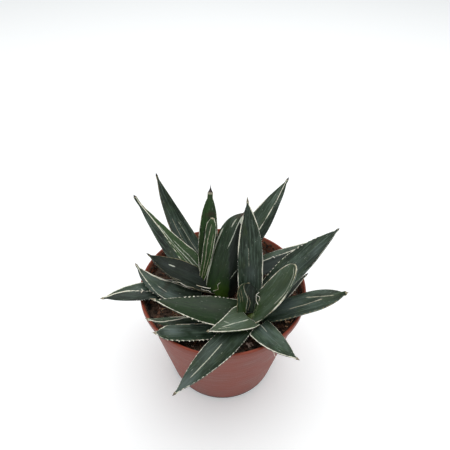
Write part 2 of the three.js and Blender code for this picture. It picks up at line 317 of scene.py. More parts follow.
@dataclass(frozen=True)
class PotFinish:
    """Thin moulded plastic, terracotta red, scattering a little light, with a painted glow where the rim is thinnest.
    """

    wall: tuple = srgb(132, 68, 56)
    shade: tuple = srgb(122, 62, 51)
    # painted glow: the orange of the thin rim where light comes through
    rim: tuple = srgb(134, 62, 44)
    inside: tuple = srgb(136, 84, 64)
    dust: tuple = srgb(130, 84, 72)
    # painted contact shade where the pot meets the floor
    foot: tuple = srgb(52, 24, 24)

    def build(self) -> Material:
        """Flow streaks round the wall, a more orange rim as a painted glow, dust on the inner wall, a dark foot painted
        as contact shade.
        """
        s = Shader("terracotta_plastic")
        place = s.place()
        x, y, z = s.split(place)
        spread = s.math("SQRT", s.plus(s.math("POWER", x, 2.0), s.math("POWER", y, 2.0)))
        bands = s.noise(s.join(s.times(x, 0.12), s.times(y, 0.12), z), 420.0, 3.0)
        cloud = s.noise(place, 55.0, 4.0)
        colour = s.coat(self.shade, self.wall, cloud, 0.3, 0.7)
        colour = s.coat(colour, self.dust, bands, 0.45, 0.75, 0.35)
        # painted glow: the top of the lip painted in the rim colour
        top = s.step(z, 76.8 * MM, 77.7 * MM)
        colour = s.mix(top, colour, self.rim)
        wall_line = s.plus(POT.base_radius, s.times(z, POT.slope))
        depth = s.math("SUBTRACT", wall_line, spread)
        colour = s.coat(colour, self.inside, depth, 0.45 * MM, 0.7 * MM, gate=s.math("SUBTRACT", 1.0, top))
        # painted contact shade: the bottom 2 to 4 mm of the wall painted dark, unevenly
        colour = s.coat(colour, self.foot, s.plus(z, s.times(cloud, 0.6 * MM)), 3.6 * MM, 1.8 * MM, 0.9)
        scuff = s.step(s.noise(s.join(x, y, s.times(z, 0.25)), 900.0, 3.0), 0.62, 0.75)
        colour = s.mix(s.times(scuff, 0.18), colour, self.dust)
        s.bump(bands, 0.3 * MM)
        s.bump(s.noise(place, 5200.0, 2.0), 0.03 * MM)
        gloss = s.step(s.plus(cloud, s.times(scuff, 0.3)), 0.2, 0.9, 0.42, 0.6)
        return s.finish(colour, gloss, specular=0.25, through=0.08)


@dataclass(frozen=True)
class GritFinish:
    """Something loose and matte: peat, bark or perlite, in two tones."""

    name: str
    dark: tuple
    light: tuple
    grain: float
    relief: float
    damp: float = 0.9

    def build(self) -> Material:
        """A tone for each bit, from its own place, and a rough grain on it."""
        s = Shader(self.name)
        place = s.place()
        grit = s.noise(place, self.grain, 4.0, 0.65)
        pits = s.cells(place, self.grain * 1.6)
        colour = s.coat(self.dark, self.light, s.noise(place, self.grain * 0.35, 3.0), 0.32, 0.68)
        colour = s.coat(colour, self.light, grit, 0.5, 0.75, 0.5)
        colour = s.coat(colour, self.dark, pits, 0.5, 0.1, 0.5)
        s.bump(grit, self.relief)
        s.bump(pits, self.relief * 0.5)
        return s.finish(colour, s.step(grit, 0.2, 0.8, self.damp - 0.15, self.damp), specular=0.3)


@dataclass(frozen=True)
class FibreFinish:
    """Dry filaments peeled from the blades' edges."""

    pale: tuple = srgb(240, 238, 226)
    tan: tuple = srgb(196, 184, 154)

    def build(self) -> Material:
        """Pale with tan stretches."""
        s = Shader("dry_filament")
        place = s.place()
        colour = s.coat(self.pale, self.tan, s.noise(place, 300.0, 3.0), 0.35, 0.7)
        s.bump(s.noise(place, 6000.0, 2.0), 0.03 * MM)
        return s.finish(colour, 0.6, specular=0.3)


@dataclass(frozen=True)
class StudioFinish:
    """The pale sweep that the pot stands on."""

    colour: tuple = (0.925, 0.935, 0.94, 1.0)
    cloud: tuple = (0.915, 0.925, 0.93, 1.0)
    light: tuple = (0.88, 0.96, 0.98, 1.0)
    glow: float = 0.17

    def build(self) -> Material:
        """Matte white with a faint cloud, glowing a little."""
        s = Shader("studio_white")
        s.feed(s.bsdf.inputs["Emission Color"], self.light)
        s.feed(s.bsdf.inputs["Emission Strength"], self.glow)
        return s.finish(s.mix(s.noise(s.place(), 3.0, 1.0), self.colour, self.cloud), 0.9, specular=0.1)


# ---- mesh making ----
def add_mesh(name: str, points: Array, faces: list | Array, material: Material, smooth: bool = True) -> Piece:
    """Puts a mesh into the scene at the origin.

    Args:
        name: the piece's name.
        points: (n, 3) points in metres.
        faces: index tuples, or an (m, 3) or (m, 4) array.
        material: the piece's material.
        smooth: whether the faces are shaded smooth.

    Returns:
        The new object.
    """
    mesh = bpy.data.meshes.new(name)
    if isinstance(faces, np.ndarray):
        count, sides = faces.shape
        mesh.vertices.add(len(points))
        mesh.vertices.foreach_set("co", np.ascontiguousarray(points, dtype=np.float32).ravel())
        mesh.loops.add(count * sides)
        mesh.loops.foreach_set("vertex_index", faces.astype(np.int32).ravel())
        mesh.polygons.add(count)
        mesh.polygons.foreach_set("loop_start", np.arange(0, count * sides, sides, dtype=np.int32))
        mesh.update(calc_edges=True)
    else:
        mesh.from_pydata([tuple(p) for p in points], [], faces)
    mesh.validate()
    mesh.materials.append(material)
    mesh.polygons.foreach_set("use_smooth", np.full(len(mesh.polygons), smooth))
    mesh.update()
    piece = bpy.data.objects.new(name, mesh)
    bpy.context.scene.collection.objects.link(piece)
    log.info("%s: %d points, %d faces", name, len(mesh.vertices), len(mesh.polygons))
    return piece


def give(piece: Piece, name: str, *parts: Array) -> None:
    """Stores a float attribute, or a vector one from three parts, on a piece's points."""
    kind, key = ("FLOAT", "value") if len(parts) == 1 else ("FLOAT_VECTOR", "vector")
    layer = piece.data.attributes.new(name, kind, "POINT")
    layer.data.foreach_set(key, np.ascontiguousarray(np.stack(parts, axis=-1), dtype=np.float32).ravel())


def ring_faces(rings: int, around: int, start: int = 0) -> Array:
    """Quads between closed rings of points, wound so that they face outward."""
    i, j = np.meshgrid(np.arange(rings - 1), np.arange(around), indexing="ij")
    a = start + i * around + j
    b = start + i * around + (j + 1) % around
    return np.stack([a, b, b + around, a + around], axis=-1).reshape(-1, 4)


def closed_faces(rings: int, around: int) -> list[tuple[int, ...]]:
    """The quads of ring_faces, closed by fans to two points that follow the rings: the first end's, then the last's."""
    faces = [tuple(f) for f in ring_faces(rings, around)]
    low, last = rings * around, (rings - 1) * around
    for j in range(around):
        k = (j + 1) % around
        faces += [(low, k, j), (low + 1, last + j, last + k)]
    return faces


def wander(t: Array, seed: int, waves: int, pitch: float) -> Array:
    """A smooth random curve around 0 within about 1, the same for the same seed."""
    draw = np.random.default_rng(seed)
    total = np.zeros_like(t)
    for k in range(waves):
        total += np.sin(t * pitch * (k + 1) * 2 + draw.uniform(0, 2 * np.pi)) * draw.normal() / (k + 1)
    return total / 2


def turned(name: str, profile: list[tuple[float, float]], segments: int, material: Material,
           centre: tuple[float, float] = (0.0, 0.0)) -> Piece:
    """A turned solid from a profile of (radius, height) that runs from axis to axis, going up outside."""
    inner = np.array(profile[1:-1])
    angle = np.linspace(0, 2 * np.pi, segments, endpoint=False)
    x = centre[0] + inner[:, :1] * np.cos(angle)
    y = centre[1] + inner[:, :1] * np.sin(angle)
    z = np.repeat(inner[:, 1:], segments, axis=1)
    ends = [[*centre, profile[0][1]], [*centre, profile[-1][1]]]
    points = np.vstack([np.stack([x, y, z], axis=-1).reshape(-1, 3), ends])
    return add_mesh(name, points, closed_faces(len(inner), segments), material)


# ---- sizes ----
@dataclass(frozen=True)
class PotSizes:
    """The nursery pot."""

    height: float = 78 * MM
    rim_radius: float = 52.5 * MM
    base_radius: float = 36.8 * MM
    wall: float = 0.9 * MM
    floor: float = 1.4 * MM
    lip_height: float = 4.5 * MM
    lip_proud: float = 0.8 * MM
    drains: int = 6
    drain_radius: float = 3.2 * MM
    drain_ring: float = 25 * MM

    @property
    def slope(self) -> float:
        """Growth of the wall's outer radius for each metre of height."""
        return (self.rim_radius - self.lip_proud - self.base_radius) / self.height

    def outer(self, z: float) -> float:
        """Outer radius of the wall under the lip."""
        return self.base_radius + self.slope * z

    def inner(self, z: float) -> float:
        """Inner radius of the wall."""
        return self.outer(z) - self.wall


POT = PotSizes()


@dataclass(frozen=True)
class CrownSizes:
    """The short stem in the middle of a rosette."""

    name: str
    x: float
    y: float
    foot: float = 54 * MM
    radius: float = 5.2 * MM
    shoulder: float = 74 * MM
    top: float = 80 * MM


class Rosette(Enum):
    """The plant's two rosettes."""

    REAR = CrownSizes("crown_rear", -6 * MM, 1 * MM)
    FRONT = CrownSizes("crown_front", 18 * MM, -26 * MM)


SEAT_LEVEL = 77 * MM
SOIL_LEVEL = 70 * MM
SOIL_RISE = 2.5 * MM
SOIL_GAP = 0.3 * MM
CLOD_COUNT = 58
CLOD_RING = 43 * MM
CLOD_RADIUS = 4.6
CLOD_VARIATION = 0.9
CLOD_FLATNESS = 0.44
CLOD_SINK = 0.6 * MM
GOLDEN_ANGLE = 2.39996
LAYERS = 5
"""The most lines that one blade carries."""


@dataclass(frozen=True)
class Mark:
    """A pale line on a blade: a scar, a fold or the print of a neighbour's edge."""

    path: tuple[tuple[float, float], ...]
    """Places as shares of the length from the root, and across from -1 at the left edge to 1 at the right."""
    width: float = 0.5
    """In mm."""
    tan: float = 0.0
    """From 0 white to 1 brown."""
    under: bool = False
    """Whether it runs on the underside."""


@dataclass(frozen=True)
class Leaf:
    """One blade. Angles are in degrees and lengths in millimetres, as in the part's table.

    Its root lies out mm from its crown's axis at the seat angle, and up mm over the
    seat level. The chord runs from there at bearing and rise. Places along the blade
    are shares t of its length, and places across run from -1 at the left to 1.

    base is the root's width as a share of the greatest, which is at widest, and
    taper the power of the fall from there. The blade turns by roll about its chord,
    is bowed up by bow and swayed sideways by sway, and its end is hooked sideways.
    blunt is the least half width, and spine the length of the end spine; a rounded
    blade has a full, round end. horn is the width of the pale edge, multiplied by
    edges on the left and the right and broken into dashes by dash. Teeth of height
    tooth stand on teeth_sides as far as teeth_to. ridge is the path, as places
    (t, across), of a crease, beyond which the face falls by drop degrees, to the
    right if positive and to the left if negative, and is painted darker by
    flank: painted shade of the side turned from the light.

    fresh, shade, old and tip are shares of fresh green, darkness (partly the
    blade's own tone and partly painted shade, and painted light where negative),
    age of the edge and darkness of the point; sprout adds fresh green at the root,
    and foot adds painted shade there for the shadow of the blades above. scorch is
    (place, strength), and each painted highlight is (t, across, size, strength):
    a soft pale patch of painted reflection.
    """

    name: str
    rosette: Rosette
    bearing: float
    rise: float
    length: float
    width: float
    seat: float
    out: float
    up: float
    base: float = 0.72
    widest: float = 0.38
    taper: float = 2.0
    roll: float = 0.0
    bow: float = 0.0
    sway: float = 0.0
    spine: float = 3.0
    horn: float = 0.42
    tooth: float = 0.5
    teeth_to: float = 0.75
    fresh: float = 0.1
    # partly the blade's own tone and partly painted shade; painted light where negative
    shade: float = 0.0
    tip: float = 1.0
    scorch: tuple[float, float] = (0.0, 0.0)
    old: float = 0.35
    edges: tuple[float, float] = (1.0, 1.0)
    dash: tuple[float, float] = (0.0, 0.0)
    ridge: tuple[tuple[float, float], ...] = ()
    drop: float = 0.0
    shaded_flank: float = 0.45
    blunt: float = 0.75
    hook: float = 0.0
    # painted shade at the root, for the shadow of the blades above
    foot: float = 0.0
    sprout: float = 0.0
    rounded: bool = False
    painted_highlights: tuple[tuple[float, float, float, float], ...] = ()
    teeth_sides: tuple[int, ...] = (-1, 1)
    marks: tuple[Mark, ...] = ()


REAR, FRONT = Rosette.REAR, Rosette.FRONT
LEAVES = (
    Leaf("leaf_front_bud", FRONT, 89, 72, 20, 10.5, 170, 5, 3, base=0.9, widest=0.5, taper=8, roll=-15, rounded=True,
         hook=1.5, spine=0.4, horn=0.25, old=0.8, tooth=0.0, fresh=0.3, shade=-0.05, tip=0.0, drop=0.01,
         ridge=((0.05, 0.1), (0.14, 0.12), (0.48, 0.25), (0.76, -0.15), (0.96, -0.6)),
         marks=(Mark(((0.05, 0.1), (0.14, 0.12), (0.48, 0.25), (0.76, -0.15), (0.96, -0.6)), 0.5, 0.3),
                Mark(((0.35, -0.3), (0.6, -0.42), (0.85, -0.7)), 0.3, 0.9),
                Mark(((0.4, -0.6), (0.6, -0.7), (0.8, -0.85)), 0.3, 0.9),
                Mark(((0.05, 0.35), (0.35, 0.55), (0.6, 0.3)), 0.3, 0.8))),
    Leaf("leaf_rear_bud", REAR, 58, 72, 45, 7, 190, 8, 2, base=0.5, widest=0.65, taper=8, blunt=1.4, sway=1, spine=0.7,
         horn=0.36, tooth=0.0, fresh=1.0, tip=0.0,
         marks=(Mark(((0.0, -0.2), (0.36, -0.3), (0.67, -0.45), (0.92, -0.1)), 0.5, 0.6),
                Mark(((0.1, 0.35), (0.5, 0.45), (0.8, 0.5)), 0.4, 0.7))),
    Leaf("leaf_front_cupped", FRONT, 13, 58, 41, 18, 90, 2, 3, base=0.95, widest=0.4, taper=2.5, rounded=True,
         sway=3.5, spine=0.4, horn=0.5, edges=(1.3, 1.3), old=0.45, tooth=0.0, fresh=0.3, shade=-0.25, tip=0.0,
         marks=(Mark(((0.0, 0.2), (0.06, -0.4), (0.1, -0.55), (0.19, -0.95)), 0.55),
                Mark(((0.02, 0.4), (0.08, 0.0), (0.14, -0.45), (0.24, -0.6)), 0.35, 0.6),
                Mark(((0.42, 0.6), (0.67, 0.72), (0.9, 0.55), (0.97, 0.0)), 0.6, 0.2))),
    Leaf("leaf_front_short", FRONT, 216, 18, 29, 18, 212, 4, 3, base=1, widest=0.1, taper=1.3, sway=-1, spine=1.2,
         horn=0.6, old=0.15, tooth=0.0, fresh=0.2, shade=-0.38, painted_highlights=((0.3, 0.0, 5, 0.5),), tip=0.0,
         marks=(Mark(((0.02, -0.2), (0.36, 0.0), (0.7, 0.1)), 0.6),
                Mark(((0.44, -0.05), (0.5, 0.3), (0.6, 0.8)), 0.45), Mark(((0.5, -0.3), (0.8, -0.1)), 0.35, 0.3))),
    Leaf("leaf_rear_upright", REAR, 84, 64, 56, 11.5, 165, 5, 2, base=0.65, taper=3.2, blunt=1.7, spine=5.4, fresh=1.0,
         shade=0.2, scorch=(0.76, 0.2), tooth=0.0, horn=0.35),
    Leaf("leaf_rear_broad", REAR, 63, 60, 54, 21, 300, 8, -2, base=0.9, widest=0.2, taper=6, sway=1.2, hook=2.5,
         shaded_flank=0.65, roll=155, bow=3, spine=1, horn=0.35, fresh=0.5, shade=0.1, tooth=0.0, tip=0.6, scorch=(0.97, 0.5),
         sprout=0.7, ridge=((0, -0.5), (0.25, -0.25), (0.45, 0.05), (0.6, 0.22), (0.8, 0.1), (1, 0.1)), drop=-0.01,
         marks=(Mark(((0.58, 0.26), (0.75, 0.12), (0.95, 0.1)), 0.6, under=True),
                Mark(((0.87, -0.08), (0.97, 0.1)), 1.5, under=True),
                Mark(((0.0, 0.96), (0.5, 0.95), (0.66, 0.9), (0.78, 0.9)), 0.7, 0.1, under=True),
                Mark(((0.24, -0.3), (0.37, -0.6)), 0.5, under=True),
                Mark(((0.8, 0.45), (0.92, 0.5)), 0.5, 0.2, under=True))),
    Leaf("leaf_front_upright", FRONT, 94, 62, 65.6, 14.5, 130, 4, 2, base=0.75, taper=2.6, sway=1.1, spine=3.2,
         horn=0.42, old=0.2, tooth=0.3, tip=0.4, shade=0.15, painted_highlights=((0.35, 0.1, 3, 0.4),),
         marks=(Mark(((0.42, -0.1), (0.6, -0.12)), 0.3, 0.3), Mark(((0.64, 0.35), (0.66, 0.7)), 0.6))),
    Leaf("leaf_front_left_broad", FRONT, 182, 18, 55, 21, 185, 4, 1, base=0.95, widest=0.3, taper=1.6, sway=-1.5,
         horn=0.35, old=0.1, tooth=0.6, fresh=0.75, dash=(0.3, 0.9), edges=(1.3, 0.8), tip=0.2, shade=0.5, foot=0.15,
         painted_highlights=((0.45, 0.4, 4, 0.1),)),
    Leaf("leaf_rear_left_tall", REAR, 138.9, 54.4, 71.1, 15, 120, 8, 0.5, base=0.85, widest=0.3, taper=1.83, sway=0.8,
         bow=-6.8, spine=2.2, tooth=0.2, shade=0.15, horn=0.22, old=1.0,
         painted_highlights=((0.5, -0.3, 3.5, 0.3), (0.25, 0.3, 4, 0.3)),
         marks=(Mark(((0.3, -0.3), (0.6, -0.22)), 0.35, 0.6), Mark(((0.2, 0.4), (0.55, 0.25)), 0.35, 0.3))),
    Leaf("leaf_rear_right_tall", REAR, 34, 50, 75.6, 17, 40, 5, 1, sway=1, spine=2, horn=0.42, tip=1.0, shade=-0.08,
         painted_highlights=((0.5, -0.3, 4, 0.5),), old=0.3, tooth=0.5, ridge=((0, 0.6), (0.65, 0.36), (0.82, 0.45), (1, 0.1)),
         drop=28, shaded_flank=0.3,
         marks=(Mark(((0.35, 0.1), (0.55, 0.18)), 0.5), Mark(((0.3, 0.28), (0.5, 0.3)), 0.4))),
    Leaf("leaf_front_right_long", FRONT, 26, 40, 67.8, 18, 80, 6, 1, widest=0.45, taper=1.8, bow=1.5, sway=-0.5,
         spine=1.2, foot=0.4, tooth=0.7, teeth_to=0.75, teeth_sides=(-1,), shade=0.1,
         painted_highlights=((0.5, 0.1, 4, 0.35), (0.75, 0.2, 3, 0.45)), horn=0.2, dash=(1.0, 0.0), edges=(1.2, 0.4), old=0.3),
    Leaf("leaf_rear_left_upper", REAR, 174, 30, 46, 18, 280, 4, 1, base=0.8, widest=0.45, taper=1.8, bow=-1.5, sway=-1,
         fresh=0.1, shade=0.72, painted_highlights=((0.72, 0.1, 2, 0.5), (0.3, 0.2, 4, 0.3)), horn=0.2, spine=2, foot=0.3, old=0.8,
         tooth=0.25, edges=(0.5, 1.6),
         marks=(Mark(((0.48, -0.74), (0.6, -0.85)), 0.4, 0.5), Mark(((0.6, 0.3), (0.71, 0.26)), 0.9))),
    Leaf("leaf_rear_left_long", REAR, 148.5, 42.3, 70.4, 17.3, 215, 4.5, 1.8, roll=10, bow=-3.9, sway=0.5, widest=0.3,
         taper=0.94, blunt=1.0, horn=0.5, spine=1.8, shaded_flank=0.3, fresh=0.9, shade=-0.15, tooth=0.35,
         ridge=((0, -0.4), (0.3, -0.25), (0.5, 0.0), (0.65, 0.25), (0.85, 0.3), (1, 0.1)), drop=-18,
         marks=(Mark(((0.02, -0.05), (0.4, 0.08), (0.75, 0.2)), 0.3, 0.3),
                Mark(((0.1, 0.2), (0.45, 0.25), (0.7, 0.4)), 0.45), Mark(((0.12, 0.45), (0.5, 0.5)), 0.35))),
    Leaf("leaf_rear_left_middle", REAR, 162, 18, 45, 14, 240, 14, 0, taper=1.8, bow=-2, sway=-6, horn=0.45,
         edges=(1.0, 3.0), scorch=(0.5, 0.12), shade=-0.08, tip=0.3,
         painted_highlights=((0.45, -0.2, 3.5, 0.8), (0.75, 0.4, 2, 0.4)),
         ridge=((0, -1), (0.54, -0.88), (0.69, -0.57), (0.84, -0.4), (1, -0.45)), drop=-22, spine=2, shaded_flank=0.5,
         marks=(Mark(((0.45, -0.1), (0.62, 0.05)), 0.5, 0.3),)),
    Leaf("leaf_front_right_low", FRONT, 5, 20, 50.8, 14.5, 4, 5, 0, widest=0.4, taper=3.6, spine=1.8, blunt=1.5,
         old=0.8, foot=0.6, horn=0.2, dash=(0.0, 0.6), edges=(0.4, 0.8), tip=0.1, shade=-0.05,
         painted_highlights=((0.35, -0.3, 4, 0.7), (0.6, 0.3, 3, 0.3)), tooth=0.3,
         marks=(Mark(((0.33, 0.0), (0.53, 0.0), (0.74, -0.1)), 0.6, 0.5),
                Mark(((0.55, -0.6), (0.7, -0.4), (0.88, -0.2)), 0.6, 0.5))),
    Leaf("leaf_front_near_right", FRONT, 307, 14, 32, 14.5, 285, 8, 1, base=0.97, widest=0.2, taper=1.9, sway=1,
         spine=2, horn=0.35, old=0.2, tooth=0.3, fresh=0.15, tip=0.3, edges=(0.6, 1.7), scorch=(0.5, 0.1), shade=-0.05,
         painted_highlights=((0.15, -0.2, 4, 0.6),),
         marks=(Mark(((0.0, -0.35), (0.22, -0.28)), 0.5),)),
    Leaf("leaf_rear_right_low", REAR, 7, 26, 71, 12, 12, 5, 0, taper=1.8, fresh=0.0, horn=0.5, old=0.1, shade=-0.2,
         ridge=((0, -0.4), (0.42, -0.39), (0.7, -0.3), (1, -0.2)), painted_highlights=((0.5, 0.3, 6, 0.7),), drop=25, shaded_flank=0.85),
    Leaf("leaf_front_right_under", FRONT, 39, 15, 36, 7, 33, 8, -1, taper=1.8, spine=2.5, shade=0.7),
    Leaf("leaf_rear_left_low", REAR, 195, 9, 60, 14, 215, 9, -1, taper=2.8, sway=2.5, spine=2, fresh=0.35, tooth=0.4,
         horn=0.65, old=0.1, tip=0.0, teeth_sides=(-1,), painted_highlights=((0.6, 0.4, 3, 0.4),),
         ridge=((0, -0.3), (0.52, -0.1), (0.76, 0.4), (0.9, 0.5), (1, 0.2)), drop=-8),
    Leaf("leaf_front_left_narrow", FRONT, 190, 9, 53, 8, 165, 9, -2, widest=0.4, taper=3, sway=-3.5, spine=2,
         shade=-0.2, tip=0.0, horn=0.5, old=0.3, tooth=0.0, ridge=((0, 0.9), (0.62, 0.8), (0.8, 0.2), (0.95, -0.8)),
         drop=-18),
    Leaf("leaf_front_near_left", FRONT, 233, 10, 62, 15, 233, 6, 1, taper=1.9, spine=2, horn=0.28, old=0.3, tooth=0.35,
         fresh=0.3, tip=0.6, shade=0.28, dash=(0.4, 0.1), edges=(0.8, 0.8), foot=0.6,
         painted_highlights=((0.88, 0.0, 3.5, 0.8), (0.5, 0.4, 4, 0.4)),
         marks=(Mark(((0.36, 0.22), (0.57, 0.1), (0.82, 0.08)), 0.55, 0.25),)),
    Leaf("leaf_front_left_low", FRONT, 190, 8, 50, 11, 225, 9, -2, widest=0.4, taper=8, blunt=1.2, sway=-1.5,
         tooth=0.7, teeth_to=0.9, teeth_sides=(-1,), painted_highlights=((0.81, 0.15, 2.2, 0.8),), horn=0.3, dash=(0.65, 0.0),
         edges=(1.0, 2.2), tip=0.0, spine=2, foot=0.5, old=0.4),
)


# ---- blades ----
@dataclass(frozen=True)
class Section:
    """A blade's section at each of its stations; each grid is (stations, around)."""

    u: Array
    """Across the blade, in mm."""
    v: Array
    """Up from the face, in mm."""
    rim: Array
    """Distance inward from the pale edge, in mm."""
    under: Array
    """1 on the underside."""
    shaded_flank: Array
    # """1 on the part beyond the ridge, which is painted darker as painted shade."""
    """1 on the part beyond the ridge."""


class Blade:
    """One leaf with its toothed horny edge and end spine, swept as a closed section."""

    STATIONS = 96
    SPINE_STATIONS = 12
    UPPER = 25
    EDGE = 4
    LOWER = 21
    EDGE_THICKNESS = 0.8
    EDGE_BULGE = 0.12
    EDGE_WANDER = 0.12
    FACE_WANDER = 0.15
    TIP_DEPTH = 0.75
    CHANNEL_SHARE = 0.11
    KEEL_SHARE = 0.2
    KEEL_FADE = (1.15, 0.5)
    """The keel's depth at the root, and what it loses by the point."""
    KEEL_POWERS = (2.2, 0.72)
    HOOK_FROM, HOOK_RUN = 0.7, 0.3
    CONE_LENGTH = 5
    USUAL_BLUNT = 0.75
    SPINE_POINT = 0.04
    RIDGE_SOFT = 0.3
    TEETH_FROM = 0.08
    TOOTH_PITCH = 2.7
    TOOTH_SINK = 0.2
    TOOTH_THICK = 0.28
    FAR = 9.0
    """A distance in mm that keeps a line off a point."""
    NO_POINT = 20
    """A distance from the point, in spine lengths, that keeps its colour off."""

    def __init__(self, leaf: Leaf, index: int) -> None:
        self.leaf = leaf
        self.seed = 100 + 13 * index
        b, e = math.radians(leaf.bearing), math.radians(leaf.rise)
        self.along = np.array([math.cos(e) * math.cos(b), math.cos(e) * math.sin(b), math.sin(e)])
        self.over = np.array([-math.sin(e) * math.cos(b), -math.sin(e) * math.sin(b), math.cos(e)])
        self.side = np.cross(self.along, self.over)
        self.fall = math.tan(math.radians(abs(leaf.drop)))

    def centre(self, t: Array) -> Array:
        """Points of the blade's middle line, in mm: the chord, bowed up, swayed sideways and hooked at its end."""
        leaf = self.leaf
        s = math.radians(leaf.seat)
        crown = leaf.rosette.value
        root = np.array([crown.x / MM + leaf.out * math.cos(s), crown.y / MM + leaf.out * math.sin(s),
                         SEAT_LEVEL / MM + leaf.up])
        swell = (4 * t * (1 - t))[:, None]
        hook = np.outer(leaf.hook * np.clip((t - self.HOOK_FROM) / self.HOOK_RUN, 0, 1) ** 2, self.side)
        line = root + np.outer(t, self.along) * leaf.length + hook
        return line + swell * (leaf.bow * self.over + leaf.sway * self.side)

    def fullness(self, t: Array) -> Array:
        """Width as a share of the greatest.

        It is a sine up to the widest place and falls from there by a power law to the
        point, or by the root of one to a round end.
        """
        leaf = self.leaf
        rise = leaf.base + (1 - leaf.base) * np.sin(np.pi / 2 * np.clip(t / leaf.widest, 0, 1))
        fall = 1 - np.clip((t - leaf.widest) / (1 - leaf.widest), 0, 1) ** leaf.taper
        return np.where(t < leaf.widest, rise, np.sqrt(fall) if leaf.rounded else fall)

    def axes(self, t: Array) -> tuple[Array, Array, Array]:
        """Run, across and face directions at each station."""
        step = 1e-3
        run = self.centre(t + step) - self.centre(t - step)
        run /= np.linalg.norm(run, axis=1, keepdims=True)
        r = math.radians(self.leaf.roll)
        across = np.tile(self.side * math.cos(r) + self.over * math.sin(r), (len(t), 1))
        across -= (across * run).sum(1, keepdims=True) * run
        across /= np.linalg.norm(across, axis=1, keepdims=True)
        return run, across, np.cross(across, run)

    def half_width(self, t: Array) -> Array:
        """Half width in mm, with a slightly uneven edge, closing to nothing along the spine."""
        leaf = self.leaf
        body = np.maximum(leaf.width / 2 * self.fullness(np.clip(t, 0, 1)), leaf.blunt)
        body = body + self.EDGE_WANDER * wander(t, self.seed, 5, 5.0) * np.clip((1 - t) * 8, 0, 1)
        return body * self.spine_fall(t)

    def spine_fall(self, t: Array) -> Array:
        """1 along the blade, falling to a fine point along the spine."""
        past = np.clip((t - 1) * self.leaf.length / self.leaf.spine, 0, 1)
        power = 1.0 + 1.4 * (self.leaf.blunt - self.USUAL_BLUNT)
        return (1 - past) ** power * (1 - self.SPINE_POINT) + self.SPINE_POINT

    def ridge(self, t: Array | float) -> Array:
        """Where the ridge stands across the blade, from -1 to 1."""
        return np.interp(t, *np.array(self.leaf.ridge).T)

    def horn(self, t: Array) -> tuple[Array, Array]:
        """Widths in mm of the pale edge on the left and on the right, uneven or in dashes."""
        leaf, seed = self.leaf, self.seed
        uneven = np.stack([wander(t, seed + 60 + side, 7, 6.0) for side in (0, 1)], axis=-1)
        beat = np.sin(2 * np.pi * t * leaf.length / self.TOOTH_PITCH + 2 * wander(t, seed + 77, 3, 4.0))
        patchy = np.clip(0.5 + wander(t, seed + 79, 5, 9.0), 0, 1)
        horn = leaf.horn * np.array(leaf.edges) * np.clip(0.5 + 0.5 * uneven, -0.3, 1.5)
        horn = horn + np.array(leaf.dash) * (patchy * (0.45 * beat - 0.1))[:, None]
        return horn[:, :1], horn[:, 1:]

    def section(self, t: Array) -> Section:
        """Works out the section at each station.

        The upper face is a shallow parabola that rounds up into a cone near the
        spine. The lower face falls from the edge to a blunt keel by a power law.
        Where the leaf has a ridge, both faces fall away beyond it.
        """
        leaf, within = self.leaf, np.clip(t, 0, 1)
        half = self.half_width(t)[:, None]
        full = np.clip(self.fullness(within), 0, 1)[:, None]
        start, loss = self.KEEL_FADE
        deep = self.KEEL_SHARE * leaf.width * (start - loss * within[:, None]) * np.sqrt(full)
        deep = np.maximum(self.TIP_DEPTH, deep) * self.spine_fall(t)[:, None]
        channel = self.CHANNEL_SHARE * leaf.width * full
        edge = np.minimum(self.EDGE_THICKNESS, deep * 0.6)
        cone = np.clip((t * leaf.length - leaf.length + self.CONE_LENGTH) / self.CONE_LENGTH, 0, 1)[:, None] ** 2
        cone = cone * (not leaf.rounded)
        even = np.linspace(-1, 1, self.UPPER)[None]
        x_up, x_low = np.sin(even * np.pi / 2) * 0.35 + even * 0.65, np.linspace(1, -1, self.LOWER)[None]
        up = channel * x_up ** 2 * (1 - cone) + cone * half * 0.9 * np.sqrt(np.clip(1 - x_up ** 2, 0, 1))
        size, (belly, keel) = np.abs(x_low), self.KEEL_POWERS
        low = (channel - edge) * size ** 3 * (1 - cone) - deep * np.clip(1 - size ** belly, 0, 1) ** keel
        horn_left, horn_right = self.horn(t)
        rim_up, rim_low = (np.minimum(half * (1 + x) - horn_left, half * (1 - x) - horn_right) for x in (x_up, x_low))
        rim_low = rim_low + 0.3
        none, down = np.zeros((len(t), self.EDGE)), np.linspace(0, 1, self.EDGE + 2)[1:-1][None]
        right, left = none - horn_right + 0.8 * down, none - horn_left + 0.8 * down[:, ::-1]
        beyond_up, beyond_low = np.zeros_like(up), np.zeros_like(low)
        if leaf.ridge:
            sign, place = math.copysign(1.0, leaf.drop), self.ridge(t)[:, None]
            past_up, past_low = (x_up - place) * sign, (x_low - place) * sign
            up = up - np.clip(past_up, 0, None) * half * self.fall * (1 - cone)
            sunk = np.clip(past_low, 0, None) * half * self.fall * (1 - cone)
            low = np.minimum(low, channel * x_low ** 2 - edge - sunk)
